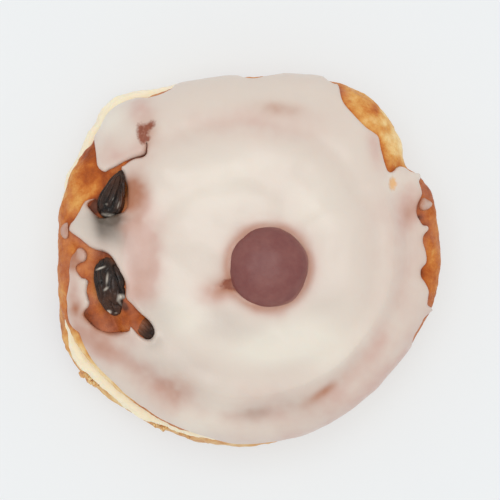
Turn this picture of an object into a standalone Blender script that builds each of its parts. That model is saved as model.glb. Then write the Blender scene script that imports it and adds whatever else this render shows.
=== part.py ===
"""A Belgian bun: an iced spiral bun, split level and filled with whipped cream.

The bun stands on z = 0 with +Z up, and x and y are as seen from above, x to the right.
Its pieces are the base half, the cream, the top half, the icing poured over the top,
half a glace cherry at the middle and three sultanas in the outer turn's crevice.
Lengths are metres; lists of radii and places are given in millimetres times MM.

The crust and the icing are worked out on a chart, the top half's surface rolled out flat.
A chart point (x, y) has a reach: its distance from the middle over the rim's radius there.
Reach 0 to 1 is the dome, and from 1 to REACH_CUT the surface runs down the side to the cut.
"""

import math

import bmesh
import bpy
import numpy as np
from mathutils import Matrix, Vector
from mathutils.geometry import delaunay_2d_cdt

MM = 0.001
TAU = math.tau

# Layers, from the table up
BASE_HEIGHT = 17.0 * MM          # also the top of BASE_PROFILE
CREAM_HEIGHT = 6.5 * MM          # at the middle of the bun
CREAM_WEDGE = -0.045             # the cream is thicker to the left, so the top half leans to the right
GAP = 0.3 * MM                   # between pieces that touch
SIDE_HEIGHT = 5.0 * MM           # top half: from its cut up to its widest line
DOME_HEIGHT = 18.0 * MM          # top half: from its widest line up to the middle
DOME_POWER = 2.8                 # a high power makes a flat top and a steep edge
REACH_CUT = 1.12
SIDE_TUCK = 0.03                 # the side draws in by this share of the radius at the cut

# Where the middle of the whole bun's box lies in the plan that the sizes below are given in
BOX_MIDDLE = Vector((-0.41, 0.50, 0.0)) * MM

# Outlines: radii every 30 degrees, anticlockwise from +x
TOP_RIM = np.array([52.8, 53.2, 55.8, 50.8, 54.8, 55.3, 52.9, 51.8, 50.6, 50.0, 49.8, 50.5]) * MM
BASE_RIM = np.array([50.5, 51.5, 53.5, 49.5, 54.0, 54.5, 53.0, 56.2, 52.2, 51.2, 48.8, 49.0]) * MM
CREAM_RIM = np.array([50.0, 50.0, 52.5, 49.5, 56.5, 57.2, 52.2, 54.6, 51.0, 50.2, 48.5, 48.5]) * MM

# The base half: share of the outline's radius, height in mm, and how uneven it is, from the table up
BASE_PROFILE = [(0.84, 0.0, 0.0), (0.905, 0.9, 0.0), (0.96, 3.2, 0.4), (0.99, 6.6, 0.8), (1.0, 10.5, 1.0),
                (0.996, 14.0, 1.0), (0.986, 16.6, 1.0), (0.955, 17.0, 0.4)]
BASE_TORN_ABOVE = 13.0 * MM      # from here up the knife left the rim ragged
BASE_TORN = 0.5 * MM
BASE_SEAM = 1.5 * MM             # the groove down the side where the dough's loose end lies
BASE_SEAM_WIDTH = math.radians(2.5)
BASE_LUMP_HEIGHT = 0.5 * MM
BASE_LUMP_SIZE = 18.0 * MM

# The cream's edge: share of its height, and how far it draws in there in mm
CREAM_PROFILE = [(0.0, 1.9), (0.14, 0.7), (0.38, 0.0), (0.64, 0.1), (0.87, 0.9), (1.0, 2.2)]
CREAM_STEPS = 80
CREAM_WAVES = [(0.7 * MM, 9, 1.5, 0.0), (0.4 * MM, 16, -1.2, 1.0)]   # height, count, lean up the side, start

# The loose end of the rolled dough makes a notch in the rim, and the spiral crevice starts there
TAIL_ANGLE = math.radians(36.0)
NOTCH_DEPTH = 2.6 * MM
NOTCH_ANGLE = math.radians(33.0)
NOTCH_WIDTH = math.radians(5.0)
TAIL_BULGE = 1.4 * MM
TAIL_BULGE_ANGLE = math.radians(19.0)
TAIL_BULGE_WIDTH = math.radians(8.0)

# The spiral crevice winds clockwise inward: radius at each count of turns
CREVICE_TURNS = [0.0, 0.08, 0.25, 0.5, 0.75, 1.0, 1.25, 1.55, 1.75, 2.0, 2.25]
CREVICE_RADII = np.array([53.0, 45.5, 43.2, 41.6, 40.3, 36.5, 33.0, 30.0, 25.0, 19.5, 14.0]) * MM
CREVICE_DEPTH = 3.6 * MM
CREVICE_SPREAD = 2.3 * MM        # how fast the dough rises on each side of the crevice
CREVICE_ROUND = 0.4 * MM         # how round its bottom is
CREVICE_FADE = 0.85              # the share of its depth that it loses down the side
LUMP_HEIGHT = 0.45 * MM
LUMP_SIZE = 26.0 * MM
LUMP_WAVES = 7

# Icing
ICING_THIN = 0.7 * MM            # over the swells of the dough
ICING_FILL = 1.9 * MM            # more in the crevice, where it ran together
ICING_FILL_SPREAD = 3.2 * MM
ICING_BEAD = 1.8 * MM            # the edge rounds off over this width
ICING_EDGE_SHARE = 0.35          # how thick the very edge is, as a share of the icing beside it

# Where the icing follows the rim: angle in degrees, and reach
RIM_RUN_TOP = [(63, 0.98), (75, 1.01), (88, 0.985), (103, 1.01), (118, 0.99), (131, 1.0), (140, 0.985)]
RIM_RUN_BELOW = [(-136, 0.97), (-124, 0.985), (-108, 1.0), (-92, 1.02), (-76, 1.05), (-62, 1.035),
                 (-50, 1.06), (-38, 1.03), (-27, 1.05), (-18, 1.01)]
# Where it runs over the top: the edge of the bare crust at the right and by the loose end,
# then the two bare bays with the sultanas at the left
RIGHT_EDGE = [(50.2, -13.2), (49.0, -11.0), (49.4, -6.2), (47.4, -3.2), (49.1, 1.6), (48.0, 5.8),
              (49.2, 9.4), (46.4, 12.9), (48.0, 17.0), (47.6, 21.0), (47.6, 24.4), (45.2, 27.4),
              (42.0, 27.0), (38.6, 24.8), (36.8, 30.0), (35.2, 36.0), (29.5, 41.0)]
UPPER_BAY = [(-42.6, 31.0), (-42.4, 26.4), (-38.5, 26.2), (-35.2, 26.4), (-33.2, 22.6), (-31.8, 19.6),
             (-33.4, 15.4), (-36.0, 11.4), (-40.0, 10.8), (-43.2, 14.0), (-46.2, 15.4), (-48.6, 11.6)]
LOWER_BAY = [(-49.4, 8.6), (-46.4, 5.6), (-42.0, 3.4), (-38.0, 1.6), (-35.0, -3.4), (-33.6, -9.0),
             (-30.6, -13.8), (-26.4, -17.6), (-27.2, -20.8), (-31.4, -19.8), (-36.6, -19.5),
             (-42.4, -17.0), (-45.0, -13.0), (-44.4, -7.4), (-46.4, -3.6), (-49.6, -3.0),
             (-50.2, -8.0), (-49.8, -14.0), (-47.6, -19.0), (-44.6, -23.7), (-40.4, -29.2)]

# Cherry: half of one, cut side down
CHERRY_PLACE = (5.7 * MM, -1.2 * MM)
CHERRY_RADIUS = 10.8 * MM
CHERRY_HEIGHT = 7.2 * MM
CHERRY_SINK = 1.4 * MM           # how far its cut face lies below the crust's smooth surface
CHERRY_WRINKLE = 0.25 * MM
CHERRY_STEPS = 24
CHERRY_PROFILE = [(0.93, 0.0), (0.99, 0.08), (1.0, 0.22), (0.94, 0.48), (0.80, 0.72), (0.58, 0.89),
                  (0.30, 0.98)]

# Sultanas: place, length, width, thickness, direction in the plan, sink below the smooth surface
RAISINS = [
    ("raisin_1", (-37.9, 18.0), 15.0, 7.4, 5.6, 67.0, 0.9),
    ("raisin_2", (-38.4, -7.2), 16.6, 8.2, 6.0, -74.0, 0.9),
    ("raisin_3", (-28.6, -18.0), 8.6, 5.6, 4.6, -50.0, 1.0),
]
RAISIN_WRINKLE = 0.45 * MM
RAISIN_CLEAR = 0.4 * MM          # its pocket is this much larger all round

# Mesh spacing
CHART_STEP = 3.5 * MM
LINE_STEP = 2.3 * MM             # along the crevice and the icing's edge
LINE_CLEAR = 1.45 * MM           # no other point lies closer to such a line
FLANK = 1.9 * MM                 # a line of points on each side of the crevice, where the dough turns down
FLANK_STEP = 3.0 * MM
RIM_STEPS = 84
RIM_REACHES = [0.925, 0.965, 0.99, 1.0, 1.04, 1.08, REACH_CUT]
FIELD_REACH = 0.885              # the even field of points ends here, and the rings begin
LINE_REACH = 1.1                 # the drawn lines stop short of the cut's own ring
AT_CUT = REACH_CUT - 0.001

# Colours (linear) and roughness of the finishes
CRUST = ((0.40, 0.13, 0.03), 0.55)
CRUMB_CRUST = ((0.55, 0.24, 0.08), 0.6)
CREAM = ((0.92, 0.80, 0.58), 0.45)
ICING = ((0.76, 0.66, 0.58), 0.3)
CHERRY = ((0.22, 0.05, 0.045), 0.2)
RAISIN = ((0.03, 0.018, 0.014), 0.3)


# ---------------------------------------------------------------- curves and noise

def around(radii, angle):
    """The radius at an angle, on the smooth closed curve through evenly spaced radii."""
    count = len(radii)
    place = np.asarray(angle) / TAU * count
    first = np.floor(place).astype(int)
    f = place - first
    a, b, c, d = (radii[(first + shift) % count] for shift in (-1, 0, 1, 2))
    return b + 0.5 * f * (c - a + f * (2 * a - 5 * b + 4 * c - d + f * (3 * (b - c) + d - a)))


def bump_at(angle, middle, width):
    """A smooth bump of height 1 in the angle around the bun."""
    turn = (np.asarray(angle) - middle + math.pi) % TAU - math.pi
    return np.exp(-(turn / width) ** 2)


def top_rim(angle):
    return (around(TOP_RIM, angle)
            - NOTCH_DEPTH * bump_at(angle, NOTCH_ANGLE, NOTCH_WIDTH)
            + TAIL_BULGE * bump_at(angle, TAIL_BULGE_ANGLE, TAIL_BULGE_WIDTH))


def lumps(x, y, size, seed):
    """Soft uneven ground of height about 1: a few waves of about one size in all directions."""
    rng = np.random.default_rng(seed)
    total = np.zeros_like(x)
    for _ in range(LUMP_WAVES):
        heading, phase = rng.uniform(0.0, TAU, 2)
        number = TAU / (size * rng.uniform(0.7, 1.5))
        total += np.sin(number * (x * math.cos(heading) + y * math.sin(heading)) + phase)
    return total / math.sqrt(LUMP_WAVES)


def smooth_loop(corners, step):
    """Points about one step apart on the smooth closed curve through the corners."""
    corners = np.asarray(corners, float)
    count = len(corners)
    fine = []
    for i in range(count):
        a, b, c, d = (corners[(i + shift) % count] for shift in (-1, 0, 1, 2))
        for f in np.linspace(0.0, 1.0, 12, endpoint=False):
            fine.append(b + 0.5 * f * (c - a + f * (2 * a - 5 * b + 4 * c - d + f * (3 * (b - c) + d - a))))
    return even_steps(np.array(fine + [fine[0]]), step)[:-1]


def even_steps(line, step):
    """The same line with its points spaced evenly, about one step apart."""
    run = np.concatenate([[0.0], np.cumsum(np.linalg.norm(np.diff(line, axis=0), axis=1))])
    places = np.linspace(0.0, run[-1], max(2, round(run[-1] / step) + 1))
    return np.column_stack([np.interp(places, run, line[:, axis]) for axis in (0, 1)])


def distance_to_line(points, line):
    """Distance from each point to a line of straight pieces."""
    start, along = line[:-1], np.diff(line, axis=0)
    away = points[:, None, :] - start[None, :, :]
    share = np.clip((away * along).sum(2) / (along ** 2).sum(1), 0.0, 1.0)
    return np.linalg.norm(away - share[..., None] * along, axis=2).min(1)


def inside_loop(points, loop):
    """Which points lie inside a closed loop, by counting the edges crossed to the right."""
    x, y = points[:, :1], points[:, 1:]
    x1, y1 = loop[:, 0], loop[:, 1]
    x2, y2 = np.roll(x1, -1), np.roll(y1, -1)
    spans = (y1 > y) != (y2 > y)
    crossing = x1 + (y - y1) * (x2 - x1) / np.where(y2 == y1, 1.0, y2 - y1)
    return (spans & (x < crossing)).sum(1) % 2 == 1


# ---------------------------------------------------------------- the crust's chart

def crevice_line():
    """The spiral crevice on the chart: down the side at the loose end, then inward."""
    turns = np.linspace(0.0, CREVICE_TURNS[-1], 500)
    angle = TAIL_ANGLE - TAU * turns
    radius = np.interp(turns, CREVICE_TURNS, CREVICE_RADII)
    inward = np.column_stack([radius * np.cos(angle), radius * np.sin(angle)])
    foot = REACH_CUT * top_rim(TAIL_ANGLE)
    start = [[foot * math.cos(TAIL_ANGLE), foot * math.sin(TAIL_ANGLE)]]
    return even_steps(np.vstack([start, inward]), LINE_STEP)


def icing_loop():
    """The edge of the icing on the chart, anticlockwise."""
    def rim_run(pairs):
        degrees, reaches = zip(*pairs)
        for degree in np.linspace(degrees[0], degrees[-1], 2 * len(pairs)):
            angle = math.radians(degree)
            radius = np.interp(degree, degrees, reaches) * top_rim(angle)
            yield (radius * math.cos(angle), radius * math.sin(angle))

    def over_top(places):
        return [(x * MM, y * MM) for x, y in places]

    corners = (over_top(RIGHT_EDGE) + list(rim_run(RIM_RUN_TOP)) + over_top(UPPER_BAY)
               + over_top(LOWER_BAY) + list(rim_run(RIM_RUN_BELOW)))
    return smooth_loop(corners, LINE_STEP)


def reach_of(points):
    angle = np.arctan2(points[:, 1], points[:, 0])
    return np.hypot(points[:, 0], points[:, 1]) / top_rim(angle), angle


def lid_lift(x):
    """Height of the top half's cut face: the base, the cream wedge and a gap at each side."""
    return BASE_HEIGHT + CREAM_HEIGHT + CREAM_WEDGE * x + 2 * GAP


def smooth_crust(points):
    """Chart points to places on the top half before the crevice and the lumps are pressed in."""
    reach, angle = reach_of(points)
    over = np.clip(reach, 0.0, 1.0)
    down = np.clip((reach - 1.0) / (REACH_CUT - 1.0), 0.0, 1.0)
    radius = top_rim(angle) * over * (1.0 - SIDE_TUCK * down ** 2)
    height = DOME_HEIGHT * np.sqrt(1.0 - over ** DOME_POWER) + SIDE_HEIGHT * (1.0 - down)
    x = radius * np.cos(angle)
    y = radius * np.sin(angle)
    return np.column_stack([x, y, height + lid_lift(x)])


def crust_normals(points):
    nudge = 0.05 * MM
    east = smooth_crust(points + [nudge, 0.0]) - smooth_crust(points - [nudge, 0.0])
    north = smooth_crust(points + [0.0, nudge]) - smooth_crust(points - [0.0, nudge])
    normal = np.cross(east, north)
    reach, angle = reach_of(points)
    at_cut = reach > AT_CUT
    normal[at_cut] = np.column_stack([np.cos(angle), np.sin(angle), 0.0 * angle])[at_cut]
    return normal / np.linalg.norm(normal, axis=1)[:, None]


def crust_relief(points, crevice):
    """How far the crust stands out from the smooth form: lumps, less the spiral crevice."""
    distance = np.hypot(distance_to_line(points, crevice), CREVICE_ROUND) - CREVICE_ROUND
    down = np.clip((reach_of(points)[0] - 1.0) / (REACH_CUT - 1.0), 0.0, 1.0)
    groove = CREVICE_DEPTH * (1.0 - CREVICE_FADE * down) * np.exp(-distance / CREVICE_SPREAD)
    return LUMP_HEIGHT * lumps(points[:, 0], points[:, 1], LUMP_SIZE, 3) - groove


def icing_thickness(points, crevice, edge):
    fill = ICING_FILL * np.exp(-distance_to_line(points, crevice) / ICING_FILL_SPREAD)
    closed_edge = np.vstack([edge, edge[:1]])
    inward = np.clip(distance_to_line(points, closed_edge) / ICING_BEAD, 0.0, 1.0)
    bead = ICING_EDGE_SHARE + (1.0 - ICING_EDGE_SHARE) * np.sqrt(1.0 - (1.0 - inward) ** 2)
    return (ICING_THIN + fill) * bead


def chart_triangles(crevice, edge):
    """Chart points with lines of them on the crevice and the icing's edge, and triangles between."""
    along = np.gradient(crevice, axis=0)
    across = np.column_stack([-along[:, 1], along[:, 0]]) / np.linalg.norm(along, axis=1)[:, None]
    lines = [edge]
    for offset in (0.0, -FLANK, FLANK):
        line = even_steps(crevice + offset * across, LINE_STEP if offset == 0.0 else FLANK_STEP)
        clear = distance_to_line(line, np.vstack([edge, edge[:1]])) > LINE_CLEAR
        own_side = distance_to_line(line, crevice) > 0.9 * abs(offset)
        lines.append(line[clear & own_side])
    turn = np.linspace(0.0, TAU, RIM_STEPS, endpoint=False)
    rings = [np.column_stack([reach * top_rim(turn) * np.cos(turn), reach * top_rim(turn) * np.sin(turn)])
             for reach in RIM_REACHES]
    row_height = CHART_STEP * math.sqrt(0.75)
    half = int(TOP_RIM.max() / row_height) + 1
    field = np.array([((col + 0.5 * (row % 2)) * CHART_STEP, row * row_height)
                      for row in range(-half, half + 1) for col in range(-half, half + 1)])
    field = field[reach_of(field)[0] < FIELD_REACH]
    loose = np.vstack(rings[:-1] + [field])
    drawn = np.vstack(lines)
    drawn = drawn[reach_of(drawn)[0] < LINE_REACH]
    close = np.array([np.linalg.norm(drawn - point, axis=1).min() < LINE_CLEAR for point in loose])
    points = np.vstack([rings[-1], drawn, loose[~close]])
    outer = [(i, (i + 1) % RIM_STEPS) for i in range(RIM_STEPS)]
    found = delaunay_2d_cdt([Vector(p) for p in points], outer, [], 1, 1e-6)
    return np.array([tuple(p) for p in found[0]]), np.array([tuple(f) for f in found[2]])


# ---------------------------------------------------------------- meshes and objects

def finish(name, colour, roughness):
    material = bpy.data.materials.new(name)
    material.use_nodes = True
    shader = material.node_tree.nodes["Principled BSDF"]
    shader.inputs["Base Color"].default_value = (*colour, 1.0)
    shader.inputs["Roughness"].default_value = roughness
    shader.inputs["Metallic"].default_value = 0.0
    return material


def add_object(name, points, faces, look):
    mesh = bpy.data.meshes.new(name)
    mesh.from_pydata([tuple(p) for p in points], [], [tuple(int(i) for i in f) for f in faces])
    mesh.update()
    mesh.shade_smooth()
    mesh.set_sharp_from_angle(angle=math.radians(50.0))
    mesh.materials.append(look)
    thing = bpy.data.objects.new(name, mesh)
    bpy.context.scene.collection.objects.link(thing)
    return thing


def ring_faces(rings, steps):
    """Side faces between rings of points that run upward, each of the same count of steps."""
    for ring in range(rings - 1):
        for i in range(steps):
            j = (i + 1) % steps
            yield (ring * steps + i, ring * steps + j, (ring + 1) * steps + j, (ring + 1) * steps + i)


def stack_of_rings(name, rings, look):
    """A closed solid from rings of points, lowest first, with a flat face at each end."""
    steps = len(rings[0])
    faces = list(ring_faces(len(rings), steps))
    faces.append(tuple(reversed(range(steps))))
    faces.append(tuple(range((len(rings) - 1) * steps, len(rings) * steps)))
    return add_object(name, np.vstack(rings), faces, look)


def make_top(chart, triangles, crevice, look):
    normals = crust_normals(chart)
    relief = crust_relief(chart, crevice)
    at_cut = reach_of(chart)[0] > AT_CUT
    surface = smooth_crust(chart) + normals * relief[:, None]
    surface[at_cut, 2] = lid_lift(surface[at_cut, 0])
    rim = range(RIM_STEPS)
    faces = [tuple(f) for f in triangles] + [tuple(reversed(rim))]
    return add_object("bun_top", surface, faces, look), surface, normals


def make_icing(chart, triangles, surface, normals, crevice, edge, look):
    middles = chart[triangles].mean(1)
    kept = triangles[inside_loop(middles, edge)]
    used, kept = np.unique(kept, return_inverse=True)
    kept = kept.reshape(-1, 3)
    count = len(used)
    thickness = icing_thickness(chart[used], crevice, edge)
    under = surface[used] + normals[used] * GAP
    over = under + normals[used] * thickness[:, None]
    sides = {}
    for a, b, c in kept:
        for start, end in ((a, b), (b, c), (c, a)):
            sides[(start, end)] = True
    walls = [(a, b, b + count, a + count) for a, b in sides if (b, a) not in sides]
    faces = [(c, b, a) for a, b, c in kept] + [tuple(f + count) for f in kept] + walls
    return add_object("icing", np.vstack([under, over]), faces, look)


def make_base(look):
    """The base half: a flat underside, a rounded foot, and a flat cut face with a ragged rim."""
    turn = np.linspace(0.0, TAU, RIM_STEPS, endpoint=False)
    rim = around(BASE_RIM, turn)
    ragged = np.random.default_rng(11).uniform(-BASE_TORN, BASE_TORN, RIM_STEPS)
    seam = BASE_SEAM * bump_at(turn, TAIL_ANGLE, BASE_SEAM_WIDTH)
    rings = []
    for share, height, unevenness in BASE_PROFILE:
        level = height * MM
        torn = ragged if level > BASE_TORN_ABOVE else 0.0
        soft = BASE_LUMP_HEIGHT * lumps(rim * np.cos(turn), rim * np.sin(turn) + level, BASE_LUMP_SIZE, 5)
        radius = rim * share + unevenness * (torn + soft - seam)
        rings.append(np.column_stack([radius * np.cos(turn), radius * np.sin(turn),
                                      np.full(RIM_STEPS, level)]))
    return stack_of_rings("bun_base", rings, look)


def make_cream(look):
    """The whipped cream: a wedge right through the bun, with a soft, wavy edge all round."""
    turn = np.linspace(0.0, TAU, CREAM_STEPS, endpoint=False)
    rim = around(CREAM_RIM, turn)
    rings = []
    for share, inset in CREAM_PROFILE:
        wave = sum(height * np.sin(count * turn + lean * share + start)
                   for height, count, lean, start in CREAM_WAVES)
        radius = rim - inset * MM + wave
        x, y = radius * np.cos(turn), radius * np.sin(turn)
        thickness = CREAM_HEIGHT + CREAM_WEDGE * x
        rings.append(np.column_stack([x, y, BASE_HEIGHT + GAP + share * thickness]))
    return stack_of_rings("cream", rings, look)


def cherry_mesh(name, swell, look):
    """Half a cherry: a dome with a rounded lower edge on a flat cut face, a little wrinkled."""
    turn = np.linspace(0.0, TAU, CHERRY_STEPS, endpoint=False)
    foot = smooth_crust(np.array([CHERRY_PLACE]))[0, 2] - CHERRY_SINK
    rings = []
    for share, height in CHERRY_PROFILE:
        wrinkle = CHERRY_WRINKLE * np.sin(5 * turn + 2.0 * height) * share
        radius = CHERRY_RADIUS * share + wrinkle + swell
        level = foot + height * CHERRY_HEIGHT + swell * (2.0 * height - 1.0)
        rings.append(np.column_stack([CHERRY_PLACE[0] + radius * np.cos(turn),
                                      CHERRY_PLACE[1] + radius * np.sin(turn),
                                      np.full(CHERRY_STEPS, level)]))
    return stack_of_rings(name, rings, look)


def raisin_mesh(name, place, length, width, thickness, heading, sink, swell, look):
    """A wrinkled sultana lying along the crust."""
    solid = bmesh.new()
    bmesh.ops.create_uvsphere(solid, u_segments=14, v_segments=8, radius=1.0,
                              matrix=Matrix.Rotation(math.pi / 2, 4, "Y"))
    half = Vector((length, width, thickness)) * 0.5 * MM
    for vert in solid.verts:
        around_it = math.atan2(vert.co.z, vert.co.y)
        folds = math.sin(5.0 * around_it + 3.0 * vert.co.x) + 0.6 * math.sin(4.0 * vert.co.x + 1.0)
        pinch = RAISIN_WRINKLE * folds * (1.0 - vert.co.x ** 2)
        out = vert.co.normalized()
        vert.co = Vector(a * b for a, b in zip(vert.co, half)) + out * (pinch + swell)
    centre = np.array([place]) * MM
    ground = Vector(smooth_crust(centre)[0])
    up = Vector(crust_normals(centre)[0])
    along = Vector((math.cos(math.radians(heading)), math.sin(math.radians(heading)), 0.0))
    side = up.cross(along).normalized()
    along = side.cross(up)
    stand = Matrix((along, side, up)).transposed().to_4x4()
    stand.translation = ground - up * sink * MM
    bmesh.ops.transform(solid, matrix=stand, verts=solid.verts)
    points = [tuple(v.co) for v in solid.verts]
    faces = [tuple(v.index for v in f.verts) for f in solid.faces]
    solid.free()
    return add_object(name, points, faces, look)


def cut_pocket(pieces, cutter):
    cutter.hide_render = True
    cutter.display_type = "WIRE"
    for piece in pieces:
        cut = piece.modifiers.new("pocket_" + cutter.name, "BOOLEAN")
        cut.operation = "DIFFERENCE"
        cut.solver = "EXACT"
        cut.object = cutter


# ---------------------------------------------------------------- the bun

def main():
    for thing in list(bpy.data.objects):
        bpy.data.objects.remove(thing)
    crust = finish("crust", *CRUST)
    icing_look = finish("icing", *ICING)
    raisin_look = finish("raisin", *RAISIN)
    cherry_look = finish("cherry", *CHERRY)

    crevice = crevice_line()
    edge = icing_loop()
    chart, triangles = chart_triangles(crevice, edge)
    top, surface, normals = make_top(chart, triangles, crevice, crust)
    icing = make_icing(chart, triangles, surface, normals, crevice, edge, icing_look)
    base = make_base(finish("base_crust", *CRUMB_CRUST))
    cream = make_cream(finish("cream", *CREAM))
    pieces = [base, cream, top, icing]
    cutters = []

    pieces.append(cherry_mesh("cherry", 0.0, cherry_look))
    cutters.append(cherry_mesh("cherry_pocket", GAP, cherry_look))
    for name, *form in RAISINS:
        pieces.append(raisin_mesh(name, *form, 0.0, raisin_look))
        cutters.append(raisin_mesh(name + "_pocket", *form, RAISIN_CLEAR, raisin_look))
    for cutter in cutters:
        cut_pocket([top, icing], cutter)
    for thing in pieces + cutters:
        thing.location = -BOX_MIDDLE


main()
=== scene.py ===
# %% [markdown]
# # Dressing a Belgian bun
# A Belgian bun is a coil of sweet dough, baked, split level, filled with whipped cream and iced.
# Its solids come in as a fixed frame: the right size, but plain. This lesson makes the surface
# that you would want to eat: crust, crumb, cream, poured icing, a cherry and three sultanas.
# Each solid is replaced by a finer mesh that follows the same curves, worked out in millimetres.

# %% Load the frame and keep its box
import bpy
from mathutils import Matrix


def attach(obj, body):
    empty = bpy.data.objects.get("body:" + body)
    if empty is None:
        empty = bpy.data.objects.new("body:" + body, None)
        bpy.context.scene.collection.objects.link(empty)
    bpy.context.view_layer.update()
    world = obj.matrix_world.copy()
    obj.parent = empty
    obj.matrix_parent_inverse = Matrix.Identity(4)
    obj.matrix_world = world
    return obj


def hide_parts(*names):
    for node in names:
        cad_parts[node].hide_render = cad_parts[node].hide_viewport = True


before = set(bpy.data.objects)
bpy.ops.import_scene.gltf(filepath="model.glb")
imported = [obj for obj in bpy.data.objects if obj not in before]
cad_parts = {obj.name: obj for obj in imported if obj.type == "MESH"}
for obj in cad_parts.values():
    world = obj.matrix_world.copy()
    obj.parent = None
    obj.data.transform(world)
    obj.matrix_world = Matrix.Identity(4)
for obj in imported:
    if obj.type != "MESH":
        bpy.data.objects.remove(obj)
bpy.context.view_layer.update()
print("solids in the frame:", ", ".join(sorted(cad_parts)))

# %% Everything else that the lesson uses
import math

import bmesh
import bpy
import numpy as np
from mathutils import Matrix, Vector, noise
from mathutils.geometry import delaunay_2d_cdt
from mathutils.kdtree import KDTree

MM = 0.001
TAU = math.tau
scene = bpy.context.scene

# %% [markdown]
# ## Camera, light and floor
# The picture looks straight down on the bun from well above, so the lens is long and nothing
# leans. The light is a white tent: a bright sky all round and one big soft lamp high over the
# far edge, which gives the swells of the icing their gentle shading. The floor is pale and gives
# back some light of its own, as a light table does, so the shadow round the foot stays faint.

# %% The camera
PICTURE_WIDTH = 0.1385                   # metres across the picture, at the height of the icing
PICTURE_MIDDLE = (0.00069, 0.00296, 0.0275)
CAMERA_RISE = 1.5
SENSOR = 36.0
FAR_END = 20.0

camera = bpy.data.objects.new("camera", bpy.data.cameras.new("camera"))
camera.data.sensor_width = SENSOR
camera.data.lens = SENSOR * CAMERA_RISE / PICTURE_WIDTH
camera.data.clip_end = FAR_END
camera.location = Vector(PICTURE_MIDDLE) + Vector((0.0, 0.0, CAMERA_RISE))
scene.collection.objects.link(camera)
scene.camera = camera
print(f"lens {camera.data.lens:.0f} mm")

# %% Colours as the eye reads them, turned into light
def paint(red, green, blue):
    """A colour given in the 0 to 255 steps of a screen, as the linear amounts that a shader takes."""
    shares = np.array([red, green, blue]) / 255.0
    linear = np.where(shares <= 0.04045, shares / 12.92, ((shares + 0.055) / 1.055) ** 2.4)
    return tuple(float(amount) for amount in linear)

# %% The sky and the lamp
SKY_COLOUR = paint(239, 239, 237)
SKY_STRENGTH = 0.93
LAMP_PLACE = Vector((-0.02, 0.14, 1.6))
LAMP_SIDE = 0.8
LAMP_POWER = 6.7

world = bpy.data.worlds.new("tent")
world.use_nodes = True
sky = world.node_tree.nodes["Background"].inputs
sky["Color"].default_value = (*SKY_COLOUR, 1.0)
sky["Strength"].default_value = SKY_STRENGTH
scene.world = world
lamp = bpy.data.objects.new("lamp", bpy.data.lights.new("lamp", "AREA"))
lamp.data.size = LAMP_SIDE
lamp.data.energy = LAMP_POWER
lamp.location = LAMP_PLACE
lamp.rotation_euler = (-LAMP_PLACE).to_track_quat("-Z", "Y").to_euler()
scene.collection.objects.link(lamp)
scene.view_settings.view_transform = "Standard"
print(f"lamp {LAMP_SIDE} m wide, {LAMP_PLACE.length:.2f} m away")

# %% [markdown]
# ## Finishes written as sums
# A material in Blender is a tree of nodes. Wiring each Math node by hand hides the idea, so two
# small classes let us write it as arithmetic. `Value` wraps a socket: adding, subtracting or
# multiplying values adds the Math node. `Finish` owns one Principled shader, and its `node`
# method makes any other node from its type, its settings and what feeds its sockets.

# %% A socket that can be added and multiplied
class Value:
    def __init__(self, finish, socket):
        self.finish = finish
        self.socket = socket

    def maths(self, operation, first, second, clamp=False):
        return self.finish.node("ShaderNodeMath", {"operation": operation, "use_clamp": clamp},
                                {0: first, 1: second})

    def __add__(self, other):
        return self.maths("ADD", self, other)

    def __sub__(self, other):
        return self.maths("SUBTRACT", self, other)

    def __mul__(self, other):
        return self.maths("MULTIPLY", self, other)

    def __rsub__(self, other):
        return self.maths("SUBTRACT", other, self)

    def held(self):
        """The same value, kept between 0 and 1."""
        return self.maths("ADD", self, 0.0, clamp=True)

    __radd__ = __add__
    __rmul__ = __mul__

# %% A material and the nodes in it
class Finish:
    def __init__(self, name, constants):
        self.material = bpy.data.materials.new(name)
        self.material.use_nodes = True
        self.tree = self.material.node_tree
        self.shader = self.tree.nodes["Principled BSDF"]
        self.place = None
        for socket, value in constants.items():
            self.shader.inputs[socket].default_value = value

    def node(self, kind, settings, sockets, out=0):
        made = self.tree.nodes.new(kind)
        for name, setting in settings.items():
            if name == "stops":
                self.set_stops(made.color_ramp.elements, setting)
            else:
                setattr(made, name, setting)
        for key, value in sockets.items():
            self.feed(made.inputs[key], value)
        return Value(self, made.outputs[out])

    def set_stops(self, elements, stops):
        while len(elements) < len(stops):
            elements.new(1.0)
        for element, (position, colour) in zip(elements, stops):
            element.position = position
            element.color = (*colour, 1.0)

    def feed(self, socket, value):
        if isinstance(value, Value):
            self.tree.links.new(value.socket, socket)
        elif isinstance(value, tuple) and len(value) < len(socket.default_value):
            socket.default_value = (*value, 1.0)
        else:
            socket.default_value = value

    def speckle(self, size, detail=3.0, roughness=0.5):
        """Noise around 0.5 whose spots are about size millimetres across, fixed to the piece."""
        if self.place is None:
            self.place = self.node("ShaderNodeTexCoord", {}, {}, "Object")
        return self.node("ShaderNodeTexNoise", {}, {
            "Vector": self.place, "Scale": 1.0 / (size * MM), "Detail": detail, "Roughness": roughness})

    def share(self, name):
        """A number that the mesh carries at each point, from 0 to 1."""
        return self.node("ShaderNodeAttribute", {"attribute_name": name}, {}, "Fac")

    def mix(self, factor, first, second):
        return self.node("ShaderNodeMix", {"data_type": "RGBA"}, {0: factor, 6: first, 7: second}, 2)

    def wear(self, colour, roughness, height, depth):
        """Feeds the shader. Relief too fine for the mesh has a height of 0 to 1, for depth millimetres."""
        bumped = self.node("ShaderNodeBump", {}, {"Distance": depth * MM, "Height": height}, "Normal")
        for socket, value in {"Base Color": colour, "Roughness": roughness, "Normal": bumped}.items():
            self.feed(self.shader.inputs[socket], value)

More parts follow.
